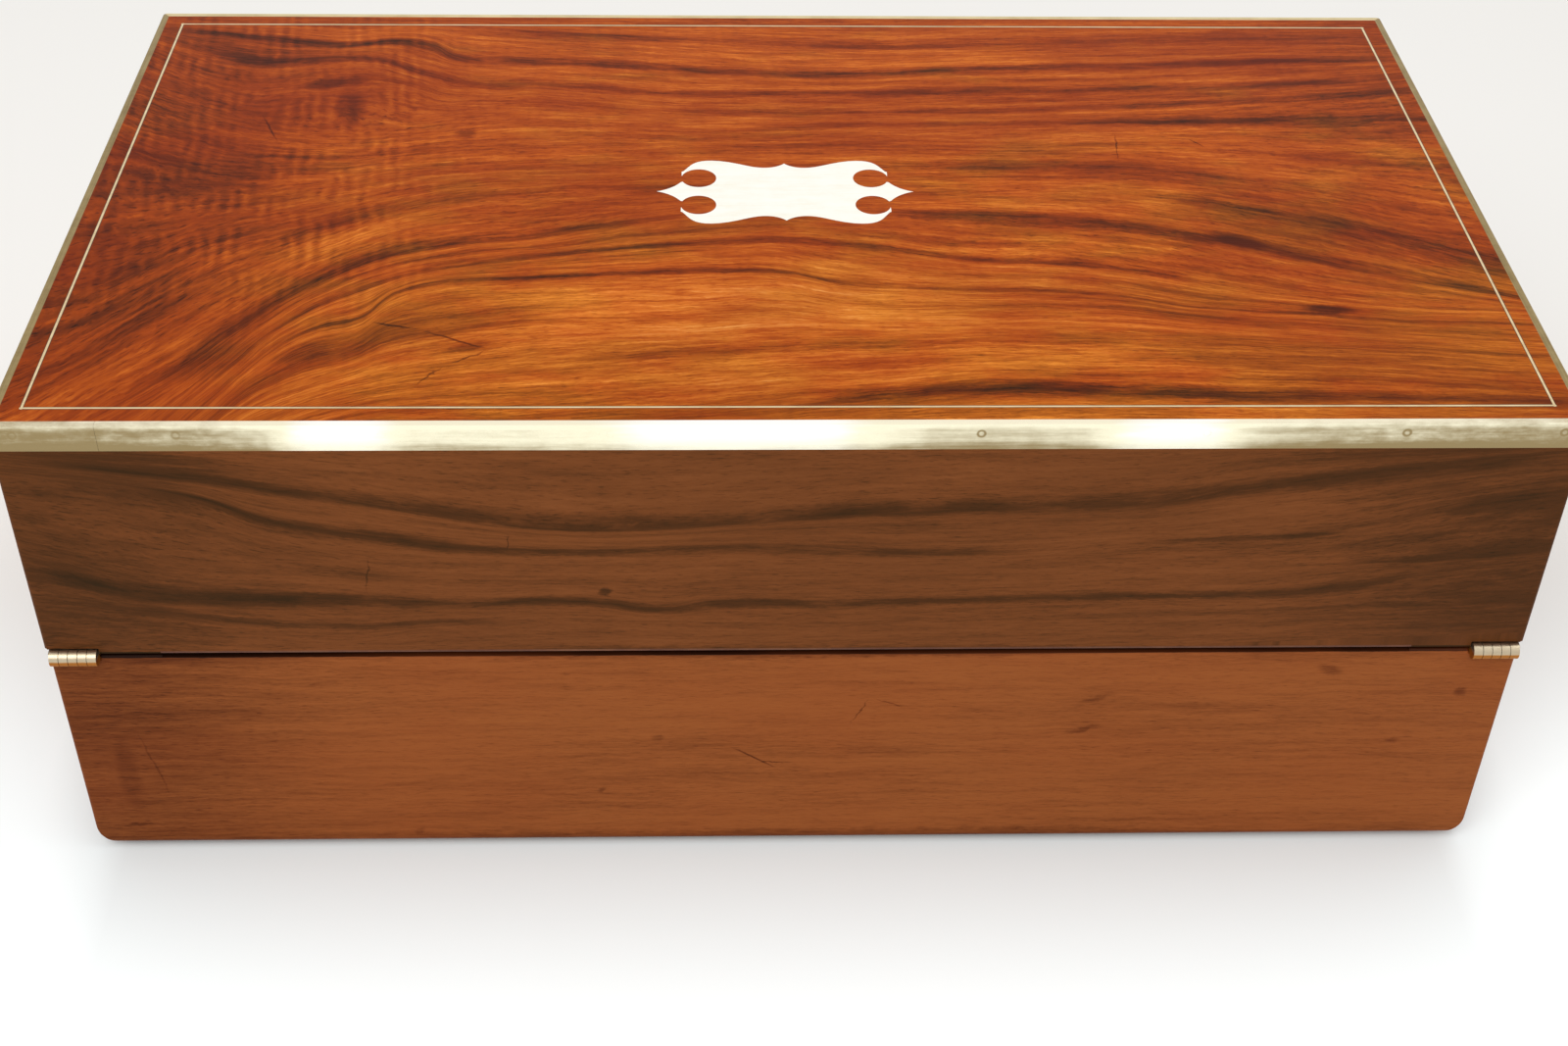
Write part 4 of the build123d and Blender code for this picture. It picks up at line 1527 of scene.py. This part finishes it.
class Metals:
    """The box's metals, each made once."""

    def __init__(self) -> None:
        """Makes every metal that the box needs."""
        # Strength of the painted lamp highlights along the hinge side's strip.
        near_painted_highlight = (
            (-204, 0.0),
            (-165, 0.16),
            (-134, 0.45),
            (-115, 0.94),
            (-92, 0.62),
            (-55, 0.70),
            (-12, 1.0),
            (18, 0.74),
            (50, 0.40),
            (72, 0.48),
            (97, 0.92),
            (122, 0.34),
            (204, 0.12),
        )
        # Painted shade along the lower edge of the lock side's and the ends' strips.
        edge_low_shade = (148.1, 149.6, 0.75)
        # The hinge side's strip has paler colours than the other strips and painted lamp highlights along X:
        # both are painted light.
        self.near_edging = BrassFinish(
            "edging_with_painted_light",
            bright=(245, 236, 208),
            dull=(152, 132, 94),
            painted_highlight=near_painted_highlight,
            # Painted shade along the strip's lower edge.
            low_shade=(148.1, 151.6, 0.4),
            # Painted highlight along the strip's upper edge.
            rubbed=(154.0, 155.8, 0.4),
            pins=(196.7, 156.0, 104.6, 47.0),
        ).material()
        self.edging = BrassFinish("old_edging", tarnish=0.4, low_shade=edge_low_shade).material()
        self.end_edging = BrassFinish(
            "dull_end_edging",
            bright=(176, 156, 108),
            dull=(110, 88, 50),
            tarnish=0.5,
            scratch_run=(0.5, 14.0, 0.5),
            low_shade=edge_low_shade,
        ).material()
        # The cartouche's near-white colour is a painted reflection of the white surround on polished brass.
        self.inlay = BrassFinish(
            "inlay_painted_white_reflection", bright=(255, 253, 244), dull=(222, 210, 172), rough=0.3, tarnish=0.2
        ).material()
        self.stringing = BrassFinish(
            "line_inlay",
            bright=(246, 226, 182),
            dull=(160, 122, 76),
            tarnish=0.4,
            core=(195.6, 106.7, 0.25),
        ).material()
        # The hinges' silvery bright colour is a painted reflection of the white surround, and their golden
        # lower part, below the seam, a painted warm reflection.
        self.hinge = BrassFinish(
            "hinge_brass_painted_reflections",
            bright=(190, 176, 150),
            dull=(170, 108, 44),
            rough=0.36,
            tarnish=0.2,
            low_shade=(77.5, 78.7, 1.3),
        ).material()
        self.fittings = BrassFinish("cabinet_brass", rough=0.24, tarnish=0.25).material()
        self.steel = SteelFinish("filed_iron").material()


@dataclass
class Dresser:
    """Gives CAD nodes their finishes.

    Attributes:
    """

    frame: dict[str, object]

    def dress(self, finish: bpy.types.Material, *nodes: str) -> None:
        """Puts one finish on some nodes.

        Args:
            finish: The material.
            *nodes: Names of the nodes.
        """
        for name in nodes:
            mesh = self.frame["nodes"][name].data
            mesh.materials.clear()
            mesh.materials.append(finish)
            LOG.info("finish %s on %s", finish.name, name)


@dataclass
class Sheet:
    """Soft sheet that lies flat on a board, with its edges rounded over.

    Its outer face is the one away from the board.

    Attributes:
        name: The piece's name.
        origin: Middle of its outer face, in metres.
        along: Unit vector of its length.
        across: Unit vector of its width.
        size: Its length and width, in metres.
        thickness: Its thickness, in metres.
        swell: Height of the low unevenness of its face, in metres.
        steps: Faces along its length and width.
    """

    name: str
    origin: Vector
    along: Vector
    across: Vector
    size: Pair
    thickness: float
    swell: float = 0.00006
    steps: tuple[int, int] = (96, 48)

    @property
    def normal(self) -> np.ndarray:
        """Unit vector out of the outer face."""
        return np.array(self.along.cross(self.across))

    def plane(self, u: np.ndarray, v: np.ndarray) -> np.ndarray:
        """Points of the flat plane through the origin, at two parameters from -1 to 1.

        Args:
            u: Parameter along the length.
            v: Parameter across the width.

        Returns:
            Points, with their coordinates in the last dimension.
        """
        half = np.array(self.size) / 2
        run = u[..., None] * half[0] * np.array(self.along)
        return np.array(self.origin) + run + v[..., None] * half[1] * np.array(self.across)

    def surface(self, u: np.ndarray, v: np.ndarray) -> np.ndarray:
        """Outer face at two parameters from -1 to 1.

        The face is flat, falls by a third of the thickness in a quarter circle over the last
        thickness before the edge, and rises and falls by a few hundredths of a millimetre as the
        product of two slow sines.

        Args:
            u: Parameter along the length.
            v: Parameter across the width.

        Returns:
            Points, with their coordinates in the last dimension.
        """
        half = np.array(self.size) / 2
        gap = np.minimum((1 - np.abs(u)) * half[0], (1 - np.abs(v)) * half[1])
        rim = np.clip(1 - gap / self.thickness, 0, 1)
        fall = (1 - np.sqrt(1 - rim**2)) * self.thickness / 3
        low = self.swell * (1 + np.sin(9.1 * u + 2 * v) * np.sin(6.3 * v + 1.2))
        height = -fall - low * (1 - rim)
        return self.plane(u, v) + height[..., None] * self.normal

    @staticmethod
    def faces(count_u: int, count_v: int) -> np.ndarray:
        """Faces of the closed mesh, by their points' numbers: outer face, inner face and edge.

        Args:
            count_u: Points along the length.
            count_v: Points across the width.

        Returns:
            Four numbers for each face. The inner face's points follow all of the outer face's.
        """
        index = np.arange(count_u * count_v).reshape(count_u, count_v)
        quads = (index[:-1, :-1], index[1:, :-1], index[1:, 1:], index[:-1, 1:])
        outer = np.stack(quads, -1).reshape(-1, 4)
        inner = outer[:, ::-1] + index.size
        rim = np.concatenate([index[:, 0], index[-1, 1:], index[-2::-1, -1], index[0, -2:0:-1]])
        after = np.roll(rim, -1)
        side = np.stack([rim, rim + index.size, after + index.size, after], -1)
        return np.concatenate([outer, inner, side])

    @staticmethod
    def lay_map(mesh: bpy.types.Mesh, places: np.ndarray) -> None:
        """Gives both faces the same flat map, in metres from the sheet's middle.

        Args:
            mesh: The sheet's mesh.
            places: Places on the map of one face's points.
        """
        layer = mesh.uv_layers.new(name="UVMap")
        numbers = np.empty(len(mesh.loops), np.int32)
        mesh.loops.foreach_get("vertex_index", numbers)
        both = np.concatenate([places, places])
        layer.data.foreach_set("uv", both[numbers].astype(np.float32).ravel())

    def build(self, finish: bpy.types.Material) -> bpy.types.Object:
        """Makes the sheet as a closed mesh: the outer face, the inner one and the edge between.

        Args:
            finish: The sheet's material.

        Returns:
            The object.
        """
        half = np.array(self.size) / 2
        rows = [self.edge_steps(count, reach) for count, reach in zip(self.steps, half)]
        u, v = np.meshgrid(rows[0], rows[1], indexing="ij")
        outer = self.surface(u, v)
        inner = self.plane(u, v) - self.thickness * self.normal
        points = np.concatenate([outer.reshape(-1, 3), inner.reshape(-1, 3)])
        mesh = bpy.data.meshes.new(self.name)
        mesh.from_pydata(points.tolist(), [], self.faces(*u.shape).tolist())
        self.lay_map(mesh, np.stack([u * half[0], v * half[1]], -1).reshape(-1, 2))
        mesh.polygons.foreach_set("use_smooth", np.ones(len(mesh.polygons), bool))
        mesh.materials.append(finish)
        return add_object(self.name, mesh)

    def edge_steps(self, count: int, reach: float) -> np.ndarray:
        """Parameters from -1 to 1, even in the middle and close together at the two edges.

        Args:
            count: Number of those in the even middle.
            reach: Half of the sheet's size there, in metres.

        Returns:
            The parameters.
        """
        rim = 1 - self.thickness / reach
        bend = 1 - (1 - rim) * np.array([0.0, 0.05, 0.2, 0.45])
        middle = np.linspace(-rim, rim, count)
        return np.concatenate([-bend, middle, bend[::-1]])


@dataclass
class WritingSurface:
    """Leather over both flaps and over the fold between them.

    Attributes:
        dresser: Puts finishes on nodes.
        woods: The woods.
        metals: The metals.
        thickness: The leather's thickness, in metres.
        strip_steps: Faces along the length and width of a strip over the fold.
        slope: Turn of the seam about X, in radians, found from the base flap's leather.
    """

    dresser: Dresser
    woods: Woods
    metals: Metals
    thickness: float = 0.0011
    strip_steps: tuple[int, int] = (96, 6)
    slope: float = field(init=False)

    def __post_init__(self) -> None:
        """Finds the seam's slope from the leather of the base's flap."""
        low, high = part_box("base_fold_strip")
        wide_low, wide_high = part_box("base_flap_leather")
        rise = (wide_high.z + wide_low.z) / 2 - (high.z + low.z) / 2
        run = (wide_high.y + wide_low.y) / 2 - (high.y + low.y) / 2
        self.slope = math.atan2(rise, run)

    def sheet_for(self, node: str, upward: bool) -> Sheet:
        """A sheet in the place of a CAD node's plain one.

        Args:
            node: The node that it stands for.
            upward: Whether its outer face looks up when the box is closed.

        Returns:
            The sheet, not yet built.
        """
        low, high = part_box(node)
        across = Vector((0.0, math.cos(self.slope), math.sin(self.slope)))
        along = Vector((1.0 if upward else -1.0, 0.0, 0.0))
        normal = along.cross(across)
        middle = (low + high) / 2
        width = (high.y - low.y - self.thickness * math.sin(self.slope)) / math.cos(self.slope)
        return Sheet(
            node + "_hide",
            middle + normal * (self.thickness / 2),
            along,
            across,
            (high.x - low.x, width),
            self.thickness,
        )

    def build(self) -> None:
        """Makes the four leathers, and dresses the boards, hinges and turn-button."""
        plain = LeatherFinish("fold_leather", border=((400.0, 0.2),), motif_pitch=0.0).material()
        for node, body, upward in (
            ("base_flap_leather", Body.BASE_FLAP, True),
            ("lid_flap_leather", Body.LID_FLAP, False),
            ("base_fold_strip", Body.BASE, True),
            ("lid_fold_strip", Body.LID, False),
        ):
            sheet = self.sheet_for(node, upward)
            finish = plain
            if "flap" in node:
                half = (sheet.size[0] / 2 / MM, sheet.size[1] / 2 / MM)
                finish = LeatherFinish(node + "_tooled", half_size=half).material()
            else:
                sheet.steps = self.strip_steps
            made = sheet.build(finish)
            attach(made, body.value)
            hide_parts(node)
            LOG.info("leather %s, %d faces", made.name, len(made.data.polygons))
        self.dresser.dress(self.woods.inside_flat, "base_flap_board", "lid_flap_board")
        self.dresser.dress(
            self.metals.fittings,
            "base_flap_hinges_fixed",
            "base_flap_hinges_moving",
            "base_flap_hinge_pins",
            "lid_flap_hinges_fixed",
            "lid_flap_hinges_moving",
            "lid_flap_hinge_pins",
            "flap_button",
            "flap_button_screw",
        )

    @staticmethod
    def bed_of(node: str) -> str:
        """Name of the board that a leather is stuck to.

        Args:
            node: The CAD node that the leather stands for.

        Returns:
            The board's or wall's name.
        """
        beds = {
            "base_flap_leather": "base_flap_board",
            "lid_flap_leather": "lid_flap_board",
            "base_fold_strip": "base_hinge_wall",
            "lid_fold_strip": "lid_hinge_wall",
        }
        return beds[node]


@dataclass
class Lid:
    """Upper half of the box with its figured top, brass edging and inlay.

    Attributes:
        dresser: Puts finishes on nodes.
        woods: The woods.
        metals: The metals.
    """

    dresser: Dresser
    woods: Woods
    metals: Metals

    def build(self) -> None:
        """Dresses the lid's nodes."""
        dress = self.dresser.dress
        dress(self.woods.top, "lid_top_board")
        dress(self.woods.lid_face, "lid_hinge_wall")
        dress(self.woods.lid_wall, "lid_lock_wall")
        dress(self.woods.lid_end, "lid_left_wall", "lid_right_wall")
        dress(self.woods.inside_upright, "lid_lock_rail")
        dress(self.woods.inside_short, "lid_ledges")
        dress(self.metals.near_edging, "edging_hinge", "edging_pins")
        dress(self.metals.edging, "edging_lock")
        dress(self.metals.end_edging, "edging_left", "edging_right")
        dress(self.metals.inlay, "lid_cartouche")
        dress(self.metals.stringing, "lid_stringing")


@dataclass
class Base:
    """Lower half of the box with its pen and ink end.

    Attributes:
        dresser: Puts finishes on nodes.
        woods: The woods.
        metals: The metals.
    """

    dresser: Dresser
    woods: Woods
    metals: Metals

    def build(self) -> None:
        """Dresses the base's nodes and makes its baize foot."""
        dress = self.dresser.dress
        dress(self.woods.base_face, "base_hinge_wall")
        dress(self.woods.base_wall, "base_lock_wall")
        dress(self.woods.base_end, "base_left_wall", "base_right_wall")
        dress(self.woods.pine, "base_bottom_board", "pen_floor")
        dress(self.woods.inside_upright, "pen_divider", "pen_tray", "tray_blocks")
        dress(self.woods.inside_short, "ink_partitions", "base_ledges")
        dress(PaperFinish("laid_paper").material(), "base_lining", "lid_lining")
        dress(GlassFinish("bottle_glass").material(), "ink_bottle_left", "ink_bottle_right")
        dress(self.metals.fittings, "ink_collars", "ink_cap_left", "ink_cap_right")
        low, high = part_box("base_underlay")
        foot = Sheet(
            "baize_foot",
            Vector(((low.x + high.x) / 2, (low.y + high.y) / 2, low.z)),
            Vector((1.0, 0.0, 0.0)),
            Vector((0.0, -1.0, 0.0)),
            (high.x - low.x, high.y - low.y),
            high.z - low.z,
            swell=0.0,
        )
        made = foot.build(BaizeFinish("green_baize").material())
        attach(made, Body.BASE.value)
        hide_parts("base_underlay")
        LOG.info("baize foot, %d faces", len(made.data.polygons))


@dataclass
class Hardware:
    """Main hinges and box lock.

    Attributes:
        dresser: Puts finishes on nodes.
        metals: The metals.
    """

    dresser: Dresser
    metals: Metals

    def build(self) -> None:
        """Dresses the hinges, screws and lock."""
        dress = self.dresser.dress
        dress(self.metals.hinge, "hinge_leaves_base", "hinge_leaves_lid", "hinge_pins")
        dress(self.metals.fittings, "base_brass_screws", "lid_brass_screws")
        dress(self.metals.fittings, "lock_plate", "link_plate", "lock_escutcheon")
        dress(self.metals.steel, "lock_case", "lock_bolt", "lock_key_pin")


@dataclass(frozen=True)
class Lamp:
    """Soft rectangular lamp.

    Attributes:
        name: Its name.
        place: Its middle, in metres.
        size: Its width and height, in metres.
        power: Its power, in watts.
    """

    name: str
    place: Triple
    size: Pair
    power: float

    def build(self, aim: Vector) -> None:
        """Adds the lamp to the scene, with its face towards a point.

        Args:
            aim: The point, in metres.
        """
        light = bpy.data.lights.new(self.name, "AREA")
        light.shape = "RECTANGLE"
        light.size, light.size_y = self.size
        light.energy = self.power
        made = add_object(self.name, light)
        made.location = self.place
        made.rotation_euler = (aim - Vector(self.place)).to_track_quat("-Z", "Y").to_euler()
        LOG.info("lamp %s", self.name)


@dataclass(frozen=True)
class Studio:
    """Pale floor, white surround, soft lamps and the camera.

    Attributes:
        camera_place: Place of the lens, in metres.
        camera_turn: Its turn about X, Y and Z, in radians.
        lens: Focal length, in mm on the sensor.
        sensor: Width of the sensor, in mm.
        ambient: Strength of the surround's light on the box.
        lamps: The lamps.
        aim: The point that they face, in metres.
        floor_half: Half of the floor's width, in metres.
        floor_far: Colour of the floor's far part.
        floor_near: Colour of its near part, a painted cool tint against the warm light that the box throws
            on it.
        near_edge: Places along Y, in mm, where the near part's colour starts and is whole.
        floor_glow: Light that the near part adds towards the camera and in reflections.
        glow_edge: Places along Y, in mm, where that light starts and is whole.
        glow_bend: Distance from the middle along X, in mm, past which the light's edge lies further
            back, how much further for each mm, and the most.
    """

    camera_place: Triple = (-0.01919429, -0.54962897, 0.48036818)
    camera_turn: Triple = (0.88497837, -0.01592699, -0.02482063)
    lens: float = 49.392
    sensor: float = 36.0
    ambient: float = 0.62
    lamps: tuple[Lamp, ...] = (
        Lamp("key", (-0.5, -1.2, 1.7), (1.6, 1.2), 20.0),
        Lamp("top", (0.3, 0.15, 1.9), (1.4, 1.2), 10.0),
    )
    aim: Triple = (0.0, 0.0, 0.08)
    floor_half: float = 12.0
    floor_far: Rgb = (237, 235, 231)
    floor_near: Rgb = (226, 231, 231)
    near_edge: Pair = (50.0, -110.0)
    floor_glow: float = 0.26
    glow_edge: Pair = (-70.0, -200.0)
    glow_bend: Triple = (195.0, 3.0, 90.0)

    def surround(self) -> None:
        """Makes the world white where it is seen and a plain soft light elsewhere."""
        world = bpy.data.worlds.new("surround")
        world.use_nodes = True
        bpy.context.scene.world = world
        graph = Graph(world.node_tree, "Background")
        strength = graph.value("ShaderNodeMapRange", {"Value": graph.seen(), "To Min": self.ambient})
        graph.set_shader(Color=(1.0, 1.0, 1.0, 1.0), Strength=strength)

    def floor_finish(self) -> bpy.types.Material:
        """The floor's material, whose near part is a little cooler and glows a little.

        Returns:
            The material.
        """
        graph = MaterialGraph("pale_floor")
        x, y, _ = graph.place()
        bend_start, bend_slope, bend_most = self.glow_bend
        bend = ((x.size() - bend_start).larger(0.0) * bend_slope).smaller(bend_most)
        glow = graph.ease(y - bend, *self.glow_edge) * self.floor_glow
        return graph.finish(
            # Painted cool tint on the near part, against the warm light that the box throws on the floor.
            Base_Color=graph.blend(graph.ease(y, *self.near_edge), self.floor_far, self.floor_near),
            Roughness=0.9,
            Specular_IOR_Level=0.0,
            Emission_Color=(1.0, 1.0, 0.995, 1.0),
            Emission_Strength=graph.seen() * glow,
        )

    def floor(self) -> None:
        """Makes the floor, a wide plain square."""
        half = self.floor_half
        points = [(-half, -half, 0.0), (half, -half, 0.0), (half, half, 0.0), (-half, half, 0.0)]
        mesh = bpy.data.meshes.new("floor")
        mesh.from_pydata(points, [], [(0, 1, 2, 3)])
        mesh.materials.append(self.floor_finish())
        made = add_object("floor", mesh)

    def camera(self) -> None:
        """Sets the camera at the photograph's angle."""
        data = bpy.data.cameras.new("camera")
        data.lens = self.lens
        data.sensor_width = self.sensor
        data.clip_start = 0.01
        made = add_object("camera", data)
        made.location = self.camera_place
        made.rotation_euler = self.camera_turn
        bpy.context.scene.camera = made

    def build(self) -> None:
        """Sets up the whole studio."""
        bpy.context.scene.view_settings.view_transform = "Standard"
        self.camera()
        self.floor()
        self.surround()
        for lamp in self.lamps:
            lamp.build(Vector(self.aim))


def clear_scene() -> None:
    """Takes away the objects that a new file starts with."""
    for made in list(bpy.data.objects):
        bpy.data.objects.remove(made)


def main() -> None:
    """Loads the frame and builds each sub-assembly in order."""
    logging.basicConfig(level=logging.INFO, format="%(name)s: %(message)s")
    clear_scene()
    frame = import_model()
    woods = Woods()
    metals = Metals()
    dresser = Dresser(frame)
    Lid(dresser, woods, metals).build()
    Base(dresser, woods, metals).build()
    Hardware(dresser, metals).build()
    WritingSurface(dresser, woods, metals).build()
    Studio().build()
    LOG.info("boxes written")


if __name__ == "__main__":
    main()
